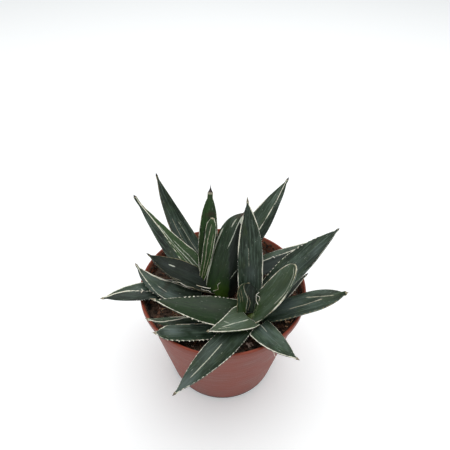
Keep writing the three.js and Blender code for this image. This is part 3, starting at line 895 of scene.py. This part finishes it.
            # the part beyond the ridge is marked for painted shade in the finish
            beyond_up, beyond_low = (np.clip(p * half * 2 - self.RIDGE_SOFT, 0, 1) for p in (past_up, past_low))
            free = half * (1 + x_up * sign) - (horn_left if sign > 0 else horn_right)
            crest = np.abs(x_up - place) * half * 1.4 - np.maximum(horn_left, leaf.horn * 0.65)
            rim_up = np.minimum(free, crest)
            rim_low = np.where(beyond_low > 0, self.FAR, rim_low)
            right, left = (none + self.FAR, left) if sign > 0 else (right, none + self.FAR)
        rim = np.hstack([rim_up, right, rim_low, left])
        if leaf.rounded:
            rim = np.minimum(rim, ((t[-1] - t) * leaf.length - leaf.horn * 1.3)[:, None])
        bulge = np.sin(np.linspace(0, np.pi, self.EDGE + 2)[1:-1])[None] * self.EDGE_BULGE * (1 - cone)
        right_v = up[:, -1:] + (low[:, :1] - up[:, -1:]) * down
        left_v = up[:, :1] + (low[:, -1:] - up[:, :1]) * down
        return Section(
            u=np.hstack([half * x_up, half + bulge, half * x_low, -half - bulge]),
            v=np.hstack([up, right_v, low, left_v[:, ::-1]]),
            rim=rim,
            under=np.hstack([np.zeros_like(up), none, np.ones_like(low), none]),
            shaded_flank=np.hstack([beyond_up, none + (beyond_up[:, -1:] > 0), beyond_low, none + (beyond_up[:, :1] > 0)]),
        )

    def line(self, index: int, t: Array, section: Section) -> tuple[Array, Array | float, float]:
        """Distance from a mark's middle and its half width, in mm, and its brownness.

        The half width is far below 0 where the line doesn't run, and all over the
        blade if it has no such mark.
        """
        leaf = self.leaf
        if index >= len(leaf.marks):
            return np.zeros_like(section.u), -self.FAR, 0.0
        mark = leaf.marks[index]
        x = np.interp(t, *np.array(mark.path).T) * self.half_width(t)
        x = x + self.EDGE_WANDER * wander(t, self.seed * 7 + index, 4, 4.0)
        ends = np.minimum(t - mark.path[0][0], mark.path[-1][0] - t) * leaf.length
        uneven = 1 + 0.3 * wander(t, self.seed + 31 * index, 4, 9)
        width = mark.width / 2 * np.clip(ends / 1.5, -self.FAR, 1) * uneven
        side = (section.under > 0.5) == mark.under
        return section.u - x[:, None], np.where(side, width[:, None], -self.FAR), mark.tan

    def teeth(self, half: Array, t: Array) -> tuple[Array, list[tuple[int, ...]]]:
        """Small hooked teeth along both edges: four-sided cones sunk in the rim, with their faces."""
        leaf, sink = self.leaf, self.TOOTH_SINK
        draw = np.random.default_rng(self.seed + 900)
        points, faces = [], []
        count = int(leaf.length * (leaf.teeth_to - self.TEETH_FROM) / self.TOOTH_PITCH)
        for sign in leaf.teeth_sides:
            for k in range(count):
                at = self.TEETH_FROM + (k + draw.uniform(0.2, 0.8)) * self.TOOTH_PITCH / leaf.length
                height = leaf.tooth * draw.uniform(0.45, 1.3)
                run, across, face = (direction[0] for direction in self.axes(np.array([at])))
                out, reach = across * sign, np.interp(at, t, half)
                lift = self.CHANNEL_SHARE * leaf.width * self.fullness(np.array([at]))[0] - self.EDGE_THICKNESS / 2
                if leaf.ridge and sign * leaf.drop > 0:
                    lift -= (1 - sign * self.ridge(at)) * reach * self.fall
                foot = self.centre(np.array([at]))[0] + out * (reach - sink) + face * lift
                wide = draw.uniform(0.35, 0.6) * (1 + 0.4 * (leaf.tooth > 0.5))
                waist = foot + out * (sink + height * 0.5) + run * height * 0.1
                start = len(points)
                corners = ((-wide, 0), (0, -self.TOOTH_THICK), (wide, 0), (0, self.TOOTH_THICK))
                points += [foot + run * a + face * b for a, b in corners]
                points += [waist + run * a * 0.5 + face * b * 0.5 for a, b in corners]
                points.append(foot + out * (sink + height) + run * height * 0.45)
                for j in range(4):
                    p, q = start + j, start + (j + 1) % 4
                    if sign > 0:
                        p, q = q, p
                    faces += [(p, q, q + 4, p + 4), (p + 4, q + 4, start + 8)]
        return np.array(points).reshape(-1, 3), faces

    def stations(self) -> Array:
        """Places along the blade, as shares of its length, and past 1 along the spine."""
        body = np.linspace(0, 1, self.STATIONS) ** 0.95
        spine = 1 + np.linspace(0, 1, self.SPINE_STATIONS + 1)[1:] * self.leaf.spine / self.leaf.length
        return np.concatenate([body, spine])

    def sweep(self, t: Array, u: Array, v: Array) -> tuple[Array, Array, Array]:
        """Section offsets to points in mm, with the middle line and the run at each station."""
        within = np.clip(t, 0, 1)
        run, across, face = self.axes(within)
        middle = self.centre(within) + run * (np.clip(t - 1, 0, None) * self.leaf.length)[:, None]
        swell = self.FACE_WANDER * wander(t, self.seed + 5, 4, 4.0) * np.clip((1 - t) * 6, 0, 1)
        points = middle[:, None] + across[:, None] * u[..., None] + face[:, None] * (v + swell[:, None])[..., None]
        return points, middle, run

    def build(self, material: Material) -> Piece:
        """Makes the blade's mesh with the attributes that its finish reads."""
        leaf, t = self.leaf, self.stations()
        section, half = self.section(t), self.half_width(t)
        u, under, shaded_flank = section.u, section.under, section.shaded_flank
        points, middle, run = self.sweep(t, u, section.v)
        points = np.vstack([points.reshape(-1, 3), middle[0], middle[-1] + run[-1] * 0.05])
        faces = [f[::-1] for f in closed_faces(*u.shape)]
        cones, cone_faces = self.teeth(half, t) if leaf.tooth > 0 else (np.zeros((0, 3)), [])
        faces += [tuple(len(points) + i for i in f) for f in cone_faces]
        piece = add_mesh(leaf.name + "_blade", np.vstack([points, cones]) * MM, faces, material)

        def spread(values: Array | float, root: float = 0, end: float = 0, tooth: float = 0) -> Array:
            """Values of the section's points, the two end points and the teeth."""
            grid = np.broadcast_to(values, u.shape).ravel()
            return np.concatenate([grid, [root, end], np.full(len(cones), tooth)])

        give(piece, "blade", spread((t * leaf.length * MM)[:, None], 0, leaf.length * MM, 0.5 * leaf.length * MM),
             spread(u * MM), spread(under, 0.5, 0.5))
        # painted highlight: soft patches of painted reflection on the upper face
        painted_highlight_share = np.zeros_like(u)
        for place, side, size, strength in leaf.painted_highlights:
            away = np.hypot((t - place)[:, None] * leaf.length / 2.2, u - side * half[:, None]) / size
            painted_highlight_share = np.maximum(painted_highlight_share, strength * np.exp(-away ** 2) * (under < 0.5))
        # the rim attribute's second part carries the painted highlight share
        give(piece, "rim", spread(section.rim, -1, 1, -1), spread(painted_highlight_share), spread(0))
        plain = self.NO_POINT * leaf.rounded
        to_end = (t[-1] - t) * leaf.length / leaf.spine + plain
        give(piece, "point", spread(to_end[:, None], self.NO_POINT, plain, self.NO_POINT))
        place, strength = leaf.scorch
        burn = np.clip(1 - np.abs(t - place) / 0.06, 0, 1) * strength * 3
        young, base = (np.clip(1 - t / reach, 0, 1)[:, None] for reach in (0.5, 0.4))
        # the tone's third part: the blade's shade, painted shade on the flank beyond the ridge and painted shade at the
        # root from foot
        give(piece, "tone", spread((leaf.fresh + leaf.sprout * young) * (1 - shaded_flank), leaf.fresh, leaf.fresh),
             spread(burn[:, None]), spread(leaf.shade + shaded_flank * leaf.shaded_flank + leaf.foot * base, leaf.shade, leaf.shade))
        give(piece, "strand", *(spread(v, v, v, v) for v in (self.seed, leaf.tip, leaf.old)))
        far = self.FAR
        for index in range(LAYERS):
            offset, width, tan = self.line(index, t, section)
            give(piece, f"mark_{index + 1}", spread(offset, far, far, far), spread(width, -far, -far, -far),
                 spread(tan))
        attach(piece, "root")
        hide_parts(leaf.name)
        return piece


@dataclass(frozen=True)
class Filament:
    """A thread peeled off a blade's edge.

    Its path runs over the blade as shares along and across, with a lift in mm off
    the upper face at each point. thick is its radius in mm.
    """

    leaf: str
    path: tuple[tuple[float, float, float], ...]
    thick: float


FILAMENTS = (
    Filament("leaf_rear_left_upper", (
        (0.26, -0.5, 0.0), (0.2, -0.57, 0.5), (0.14, -0.6, 0.9), (0.08, -0.6, 1.3), (0.03, -0.3, 1.8),
        (0.0, -0.05, 2.0), (0.0, 0.3, 2.6), (0.0, 0.55, 3.0)), 0.27),
    Filament("leaf_rear_left_upper", ((0.02, -0.1, 1.9), (0.0, -0.35, 1.6), (0.0, -0.7, 1.0)), 0.2),
    Filament("leaf_rear_left_upper", (
        (0.2, -0.8, 0.3), (0.15, -0.95, 0.8), (0.1, -0.9, 1.0), (0.06, -1.05, 0.8)), 0.12),
    Filament("leaf_rear_left_upper", (
        (0.3, -0.95, 0.2), (0.4, -1.15, 0.6), (0.5, -1.05, 0.4), (0.6, -1.3, 0.2)), 0.12),
    Filament("leaf_rear_broad", ((0.2, 0.1, -4.2), (0.15, 0.3, -4.6), (0.1, 0.2, -5.0), (0.06, 0.5, -5.0)), 0.14),
    Filament("leaf_front_upright", (
        (0.19, 0.8, 0.9), (0.165, 0.55, 1.3), (0.11, 0.6, 1.6), (0.07, 0.88, 1.8), (0.02, 0.6, 2.0)), 0.3),
    Filament("leaf_front_upright", ((0.165, 0.55, 1.3), (0.15, 0.85, 1.5), (0.1, 0.95, 1.7)), 0.16),
    Filament("leaf_front_near_right", ((0.64, 1.0, 0.0), (0.72, 1.6, -0.6), (0.8, 2.0, -1.2)), 0.1),
    Filament("leaf_rear_right_tall", ((0.28, 1.0, -2.0), (0.3, 1.3, -2.2), (0.35, 1.35, -1.8)), 0.15),
    Filament("leaf_rear_right_tall", ((0.4, 1.0, -2.4), (0.43, 1.25, -2.6), (0.41, 1.4, -2.2)), 0.13),
    Filament("leaf_rear_right_low", ((0.51, -0.42, 0.2), (0.52, -0.3, 0.6), (0.53, -0.12, 0.3)), 0.3),
    Filament("leaf_rear_left_low", ((0.63, -0.15, 0.2), (0.61, 0.05, 0.7), (0.62, 0.3, 0.2)), 0.34),
)


def lay_filaments(material: Material) -> None:
    """Lays each blade's threads, as one piece for a blade."""
    for index, leaf in enumerate(LEAVES):
        mine = [f for f in FILAMENTS if f.leaf == leaf.name]
        if not mine:
            continue
        blade, paths = Blade(leaf, index), []
        for thread in mine:
            knots = np.array(thread.path)
            share = np.linspace(0, len(knots) - 1, 10 * len(knots))
            t, x, lift = (np.interp(share, np.arange(len(knots)), knots[:, k]) for k in range(3))
            for row in (t, x, lift):
                for _ in range(3):
                    row[1:-1] = (row[:-2] + row[1:-1] + row[2:]) / 3
            within = np.clip(t, 0, 1)
            full = np.clip(blade.fullness(within), 0, 1)
            channel = Blade.CHANNEL_SHARE * leaf.width * full * np.minimum(x ** 2, 1)
            points, _, _ = blade.sweep(t, (x * blade.half_width(within))[:, None], (channel + lift)[:, None])
            paths.append(points[:, 0] * MM)
        points, faces = strand_mesh(paths, [thread.thick * MM for thread in mine])
        piece = add_mesh(leaf.name + "_threads", points, faces, material)
        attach(piece, "root")
        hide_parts(leaf.name)


# ---- pot, crowns and soil ----
class NurseryPot:
    """The thin tapered pot with a rolled lip and drain holes."""

    SEGMENTS = 160
    FOOT_ROUND = 0.8 * MM
    LIP_FOOT_ROUND = 0.5 * MM
    LIP_ROUND = 0.75 * MM

    def __init__(self, sizes: PotSizes) -> None:
        self.sizes = sizes

    def profile(self) -> list[tuple[float, float]]:
        """From the underside's centre round the foot, up the wall, over the lip and down inside."""
        s = self.sizes
        lip_foot = s.height - s.lip_height

        def corner(edge: float, z: float, size: float, first: float, last: float, count: int) -> list:
            """Points of a rounded corner whose outermost point is at edge, between two angles in degrees."""
            turns = [math.radians(a) for a in np.linspace(first, last, count)]
            return [(edge - size + size * math.cos(a), z + size * math.sin(a)) for a in turns]

        points = [(0.0, 0.0), (s.base_radius - 2 * MM, 0.0)]
        points += corner(s.base_radius, self.FOOT_ROUND, self.FOOT_ROUND, -90, 0, 7)
        points += [(s.outer(z), z) for z in np.linspace(3 * MM, lip_foot, 24)]
        points += corner(s.rim_radius, lip_foot + s.lip_proud, self.LIP_FOOT_ROUND, -70, 0, 5)
        points += corner(s.rim_radius, s.height - self.LIP_ROUND, self.LIP_ROUND, 0, 180, 11)
        points += [(s.inner(z), z) for z in np.linspace(s.height - 1.6 * MM, s.floor, 24)]
        return points + [(0.0, s.floor)]

    def build(self, material: Material) -> Piece:
        """Turns the pot and drills its drain holes."""
        s = self.sizes
        pot = turned("nursery_pot", self.profile(), self.SEGMENTS, material)
        hole = [(0, -MM), (s.drain_radius, -MM), (s.drain_radius, s.floor + MM), (0, s.floor + MM)]
        for k in range(s.drains):
            a = 2 * math.pi * k / s.drains
            cut = turned(f"drain_{k}", hole, 24, material, (s.drain_ring * math.cos(a), s.drain_ring * math.sin(a)))
            step = pot.modifiers.new("drain", "BOOLEAN")
            step.operation, step.object, step.solver = "DIFFERENCE", cut, "EXACT"
            mesh = bpy.data.meshes.new_from_object(pot.evaluated_get(bpy.context.evaluated_depsgraph_get()))
            pot.modifiers.clear()
            pot.data = mesh
            bpy.data.objects.remove(cut)
        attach(pot, "root")
        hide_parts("pot")
        return pot


def build_crown(s: CrownSizes, material: Material) -> Piece:
    """Turns the pale heart of one rosette: a stem that narrows to a rounded top."""
    share = np.linspace(0, 1, 16)[:-1]
    radius = s.radius * np.cos(share * np.pi / 2) ** 0.8
    height = s.shoulder + (s.top - s.shoulder) * share
    profile = [(0.0, s.foot), (s.radius * 0.7, s.foot), (s.radius, s.foot + 6 * MM), *zip(radius, height), (0.0, s.top)]
    piece = turned(s.name + "_heart", profile, 40, material, (s.x, s.y))
    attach(piece, "root")
    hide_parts(s.name)
    return piece


class PottingSoil:
    """The soil: a lumpy bed with crumbs, bark, perlite and dry roots lying on it.

    FIBRES, BITS and the places in build list the loose kinds in the order of their
    random draws. Sizes are in mm.
    """

    RINGS = 90
    AROUND = 220
    WAVES = 26
    WAVE_RATE, WAVE_STEP, WAVE_FADE = 160, 1.16, 0.35
    WAVE_HEIGHT = 0.28 * MM
    SETTLE = 0.4 * MM
    CROWN_CLEAR = 1.5 * MM
    FIBRES = (
        ("root_fibres", 90, 9, 0.11, "fibre"),
        ("dark_fibres", 120, 7, 0.14, "bark_red"),
    )
    """Name, count, length, radius and finish."""
    BITS = (
        ("peat_crumbs", 1500, (0.5, 1.4), (1.0, 0.85, 0.7), "peat"),
        ("peat_fines", 1800, (0.25, 0.6), (1.0, 0.9, 0.8), "bark_dark"),
        ("bark_flakes", 420, (0.7, 1.7), (1.5, 0.9, 0.35), "bark_dark"),
        ("bark_bits", 420, (0.45, 1.1), (1.4, 0.8, 0.45), "bark_red"),
        ("perlite_bits", 40, (0.3, 0.7), (1.0, 0.9, 0.85), "perlite"),
    )
    """Name, count, smallest and largest radius, stretch and finish."""
    PUMICE = ((15.0, -40.3), (16.2, -39.8), (15.7, -41.3), (14.2, -39.8), (17.0, -41.0))
    """Places of the lumps that make up one white stone."""
    WALL_CRUMBS = 900
    WALL_LEVELS = (70.5, 76.0)
    HEAP = 55
    HEAP_BEARING = (-58, -14)
    HEAP_RING = (38, 48.5)
    """The heap lies between two bearings in degrees and two distances from the pot's axis."""

    def __init__(self, sizes: PotSizes, seed: int = 41) -> None:
        self.sizes = sizes
        self.rim = sizes.inner(SOIL_LEVEL)
        self.draw = np.random.default_rng(seed)
        self.waves = self.draw.normal(size=(self.WAVES, 2))
        self.phases = self.draw.uniform(0, 2 * np.pi, self.WAVES)

    def height(self, x: Array, y: Array) -> Array:
        """Surface height in metres: a low mound, flat clods in a sunflower pattern and rolling lumps."""
        share = np.hypot(x, y) / (self.rim - SOIL_GAP)
        steep = 0.5 * (1 - share) / 0.2
        mild = 0.5 + 0.5 * (0.8 - share) / 0.35
        mound = SOIL_LEVEL + SOIL_RISE * np.clip(np.where(share > 0.8, steep, mild), 0, 1)
        clods = np.zeros_like(x)
        for k in range(CLOD_COUNT):
            ring, turn = CLOD_RING * math.sqrt((k + 0.5) / CLOD_COUNT), k * GOLDEN_ANGLE
            radius = (CLOD_RADIUS + CLOD_VARIATION * math.sin(5 * k)) * MM
            away = np.hypot(x - ring * math.cos(turn), y - ring * math.sin(turn)) / radius
            clods = np.maximum(clods, np.sqrt(np.clip(1 - away ** 2, 0, 1)) * radius * CLOD_FLATNESS - CLOD_SINK)
        lumps = np.zeros_like(x)
        for k, ((a, b), phase) in enumerate(zip(self.waves, self.phases)):
            rate = self.WAVE_RATE * self.WAVE_STEP ** k
            lumps += np.sin((a * x + b * y) * rate + phase) / (1 + self.WAVE_FADE * k)
        return mound + clods - self.SETTLE + lumps * self.WAVE_HEIGHT

    def bed(self, material: Material) -> Piece:
        """The closed plug of soil under the surface."""
        foot = self.sizes.floor + SOIL_GAP
        angle = np.linspace(0, 2 * np.pi, self.AROUND, endpoint=False)
        radii = (self.rim - SOIL_GAP) * np.linspace(0, 1, self.RINGS + 1)[:0:-1, None]
        x, y = radii * np.cos(angle), radii * np.sin(angle)
        low = self.sizes.inner(foot) - SOIL_GAP
        x, y = np.vstack([low * np.cos(angle), x]), np.vstack([low * np.sin(angle), y])
        z = self.height(x, y)
        z[0] = foot
        top = float(self.height(np.zeros(1), np.zeros(1))[0])
        points = np.vstack([np.stack([x, y, z], axis=-1).reshape(-1, 3), [[0, 0, foot], [0, 0, top]]])
        return self.claim(add_mesh("soil_bed", points, closed_faces(*z.shape), material))

    def claim(self, piece: Piece) -> Piece:
        """Ties a piece of the soil to the part."""
        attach(piece, "root")
        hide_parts("soil")
        return piece

    def spots(self, count: int, margin: float) -> tuple[Array, Array]:
        """Random places on the surface, off the crowns."""
        radius = (self.rim - margin) * np.sqrt(self.draw.uniform(0, 1, count * 2))
        angle = self.draw.uniform(0, 2 * np.pi, count * 2)
        x, y = radius * np.cos(angle), radius * np.sin(angle)
        keep = np.full(len(x), True)
        for rosette in Rosette:
            crown = rosette.value
            keep &= np.hypot(x - crown.x, y - crown.y) > crown.radius + self.CROWN_CLEAR
        return x[keep][:count], y[keep][:count]

    def bits(self, name: str, size: tuple[float, float], shape: tuple[float, float, float], material: Material,
             places: tuple[Array, ...]) -> Piece:
        """Loose lumps: low-poly balls pushed in and out, stretched, turned and half bedded.

        Args:
            name: the piece's name.
            size: smallest and largest radius in mm.
            shape: stretch along the lump's own axes.
            material: its finish.
            places: where they lie, with their heights where they stick to the wall.

        Returns:
            All the lumps as one object.
        """
        corners, triangles = ball_mesh()
        x, y, *heights = places
        count, draw = len(x), self.draw
        radius = draw.uniform(*size, count) * MM
        dents = 1 + 0.32 * draw.normal(size=(count, len(corners), 1)).clip(-1.4, 1.4)
        points = corners[None] * dents * np.array(shape) * radius[:, None, None]
        points = np.einsum("nij,nkj->nki", random_turns(draw, count, 0.5), points)
        z = heights[0] if heights else self.height(x, y) + radius * min(shape) * 0.25
        points += np.stack([x, y, z], axis=-1)[:, None]
        faces = (triangles[None] + (np.arange(count) * len(corners))[:, None, None]).reshape(-1, 3)
        return self.claim(add_mesh(name, points.reshape(-1, 3), faces, material, smooth=False))

    def fibres(self, name: str, count: int, length: float, thick: float, material: Material) -> Piece:
        """Curled root and coir fibres that lie on the surface and arch off it in the middle."""
        draw, paths, share = self.draw, [], np.linspace(0, 1, 18)
        for px, py in zip(*self.spots(count, 7 * MM)):
            heading = draw.uniform(0, 2 * np.pi) + draw.normal(0, 1.6) * share + 0.9 * np.sin(
                share * draw.uniform(3, 9) + draw.uniform(0, 6))
            stride = length * MM * draw.uniform(0.5, 1.2) / len(share)
            cx = px + np.cumsum(np.cos(heading)) * stride
            cy = py + np.cumsum(np.sin(heading)) * stride
            hold = np.minimum(1, (self.rim - 1.2 * MM) / np.maximum(np.hypot(cx, cy), 1e-6))
            cx, cy = cx * hold, cy * hold
            arch = np.sin(share * np.pi) * draw.uniform(0.1, 1.6) * MM
            paths.append(np.stack([cx, cy, self.height(cx, cy) + 0.35 * MM + arch], axis=-1))
        points, faces = strand_mesh(paths, [thick * MM] * len(paths))
        return self.claim(add_mesh(name, points, faces, material))

    def build(self, finishes: dict[str, Material]) -> None:
        """Lays the bed and everything on it."""
        draw = self.draw
        self.bed(finishes["peat"])
        for name, count, length, thick, finish in self.FIBRES:
            self.fibres(name, count, length, thick, finishes[finish])
        for name, count, size, shape, finish in self.BITS:
            places = self.spots(count, (1.2 + size[1] * max(shape)) * MM)
            self.bits(name, size, shape, finishes[finish], places)
        self.bits("pumice_lump", (0.8, 1.2), (1.0, 0.9, 0.8), finishes["perlite"], tuple(np.array(self.PUMICE).T * MM))
        low, high = self.WALL_LEVELS
        turn = draw.uniform(0, 2 * np.pi, self.WALL_CRUMBS)
        level = (low + (high - low) * draw.uniform(0, 1, self.WALL_CRUMBS) ** 1.4) * MM
        wall = self.sizes.inner(level) - 0.15 * MM
        places = (wall * np.cos(turn), wall * np.sin(turn), level)
        self.bits("wall_crumbs", (0.3, 0.9), (1.0, 0.9, 0.7), finishes["peat"], places)
        angle = np.radians(draw.uniform(*self.HEAP_BEARING, self.HEAP))
        ring = draw.uniform(*self.HEAP_RING, self.HEAP) * MM
        places = (ring * np.cos(angle), ring * np.sin(angle))
        self.bits("coir_heap", (0.4, 1.1), (1.5, 0.8, 0.5), finishes["bark_orange"], places)


def ball_mesh() -> tuple[Array, Array]:
    """A ball of 42 points and 80 triangles."""
    shape = bmesh.new()
    bmesh.ops.create_icosphere(shape, subdivisions=2, radius=1.0)
    corners = np.array([v.co[:] for v in shape.verts])
    triangles = np.array([[v.index for v in f.verts] for f in shape.faces])
    shape.free()
    return corners, triangles


def strand_mesh(paths: list[Array], radii: list[float]) -> tuple[Array, Array]:
    """Six-sided tubes along paths of points, tapering to both ends."""
    points, faces, start = [], [], 0
    angle = np.linspace(0, 2 * np.pi, 6, endpoint=False)
    fan = np.array([(0, j, j + 1) for j in range(1, 5)])
    for path, radius in zip(paths, radii):
        run = np.gradient(path, axis=0)
        run /= np.linalg.norm(run, axis=1, keepdims=True)
        side = np.cross(run, [0.3, 0.2, 1.0])
        side /= np.linalg.norm(side, axis=1, keepdims=True)
        up = np.cross(side, run)
        size = radius * np.sin(np.linspace(0.12, 0.9, len(path)) * np.pi) ** 0.4
        ring = side[:, None] * np.cos(angle)[None, :, None] + up[:, None] * np.sin(angle)[None, :, None]
        points.append((path[:, None] + ring * size[:, None, None]).reshape(-1, 3))
        quads = ring_faces(len(path), 6, start)
        last = start + 6 * (len(path) - 1)
        faces += [quads[:, [0, 1, 2]], quads[:, [0, 2, 3]], start + fan[:, [0, 2, 1]], last + fan]
        start = last + 6
    return np.vstack(points), np.vstack(faces)


def random_turns(draw: np.random.Generator, count: int, lean: float) -> Array:
    """Turn matrices: any bearing, and a lean from level of about that many radians."""
    spin = draw.uniform(0, 2 * np.pi, count)
    tip = draw.normal(0, lean, count)
    cs, sn, ct, st = np.cos(spin), np.sin(spin), np.cos(tip), np.sin(tip)
    zero, one = np.zeros(count), np.ones(count)
    about_z = np.stack([cs, -sn, zero, sn, cs, zero, zero, zero, one], axis=-1).reshape(-1, 3, 3)
    about_x = np.stack([one, zero, zero, zero, ct, -st, zero, st, ct], axis=-1).reshape(-1, 3, 3)
    return about_z @ about_x


# ---- studio ----
@dataclass(frozen=True)
class Studio:
    """Camera, light and floor of a plain product picture."""

    sight_height: float = 54.6 * MM
    distance: float = 288 * MM
    elevation: float = 51.6
    pitch: float = 40.7
    pan: float = 0.24
    roll: float = 0.75
    lens: float = 33.6
    sensor: float = 36.0
    key_place: tuple = (0.05, 0.12, 1.1)
    key_size: float = 1.2
    key_power: float = 8.5
    world: float = 0.6
    floor_reach: float = 3.0

    def camera(self) -> None:
        """The camera looks down past the pot's middle; its axis is flatter than the line to the pot."""
        e = math.radians(self.elevation)
        place = Vector((0.0, -self.distance * math.cos(e), self.sight_height + self.distance * math.sin(e)))
        p, a = math.radians(self.pitch), math.radians(self.pan)
        ahead = Vector((math.sin(a) * math.cos(p), math.cos(a) * math.cos(p), -math.sin(p)))
        right = ahead.cross(Vector((0, 0, 1))).normalized()
        up = right.cross(ahead)
        r = math.radians(self.roll)
        right, up = right * math.cos(r) + up * math.sin(r), up * math.cos(r) - right * math.sin(r)
        turn = Matrix((right, up, -ahead)).transposed()
        data = bpy.data.cameras.new("studio_camera")
        data.lens = self.lens
        data.sensor_width = self.sensor
        data.clip_start = 0.01
        view = bpy.data.objects.new("studio_camera", data)
        view.matrix_world = Matrix.Translation(place) @ turn.to_4x4()
        bpy.context.scene.collection.objects.link(view)
        bpy.context.scene.camera = view

    def key(self) -> None:
        """A soft square lamp that looks at the plant."""
        data = bpy.data.lights.new("key", "AREA")
        data.size = self.key_size
        data.energy = self.key_power
        lamp = bpy.data.objects.new("key", data)
        lamp.location = self.key_place
        aim = Vector((0, 0, 0.06)) - Vector(self.key_place)
        lamp.rotation_euler = aim.to_track_quat("-Z", "Y").to_euler()
        bpy.context.scene.collection.objects.link(lamp)

    def build(self) -> None:
        """Puts up camera, lamp, surround and floor."""
        self.camera()
        self.key()
        world = bpy.data.worlds.new("studio")
        world.use_nodes = True
        surround = world.node_tree.nodes["Background"].inputs
        surround[0].default_value = (1, 1, 1, 1)
        surround[1].default_value = self.world
        bpy.context.scene.world = world
        bpy.context.scene.view_settings.view_transform = "Standard"
        corners = np.array([[-1, -1, 0], [1, -1, 0], [1, 1, 0], [-1, 1, 0]]) * self.floor_reach
        floor = add_mesh("studio_floor", corners, [(0, 1, 2, 3)], StudioFinish().build())


def main() -> None:
    """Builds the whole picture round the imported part."""
    logging.basicConfig(level=logging.INFO)
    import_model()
    Studio().build()
    NurseryPot(POT).build(PotFinish().build())
    crown = CrownFinish().build()
    for rosette in Rosette:
        build_crown(rosette.value, crown)
    soil = {name: GritFinish(name, srgb(*dark), srgb(*light), grain, relief * MM).build()
            for name, dark, light, grain, relief in (
                ("peat", (28, 23, 20), (98, 78, 64), 900, 0.6),
                ("bark_dark", (40, 28, 22), (122, 86, 66), 1200, 0.3),
                ("bark_red", (80, 52, 40), (160, 116, 88), 1200, 0.3),
                ("bark_orange", (200, 124, 76), (255, 214, 170), 1200, 0.3),
                ("perlite", (150, 122, 108), (228, 204, 190), 1800, 0.2))}
    soil["fibre"] = FibreFinish(pale=srgb(206, 184, 146), tan=srgb(140, 108, 74)).build()
    PottingSoil(POT).build(soil)
    lay_filaments(FibreFinish().build())
    leaf_finish = LeafFinish().build()
    for index, leaf in enumerate(LEAVES):
        Blade(leaf, index).build(leaf_finish)


if __name__ == "__main__":
    main()
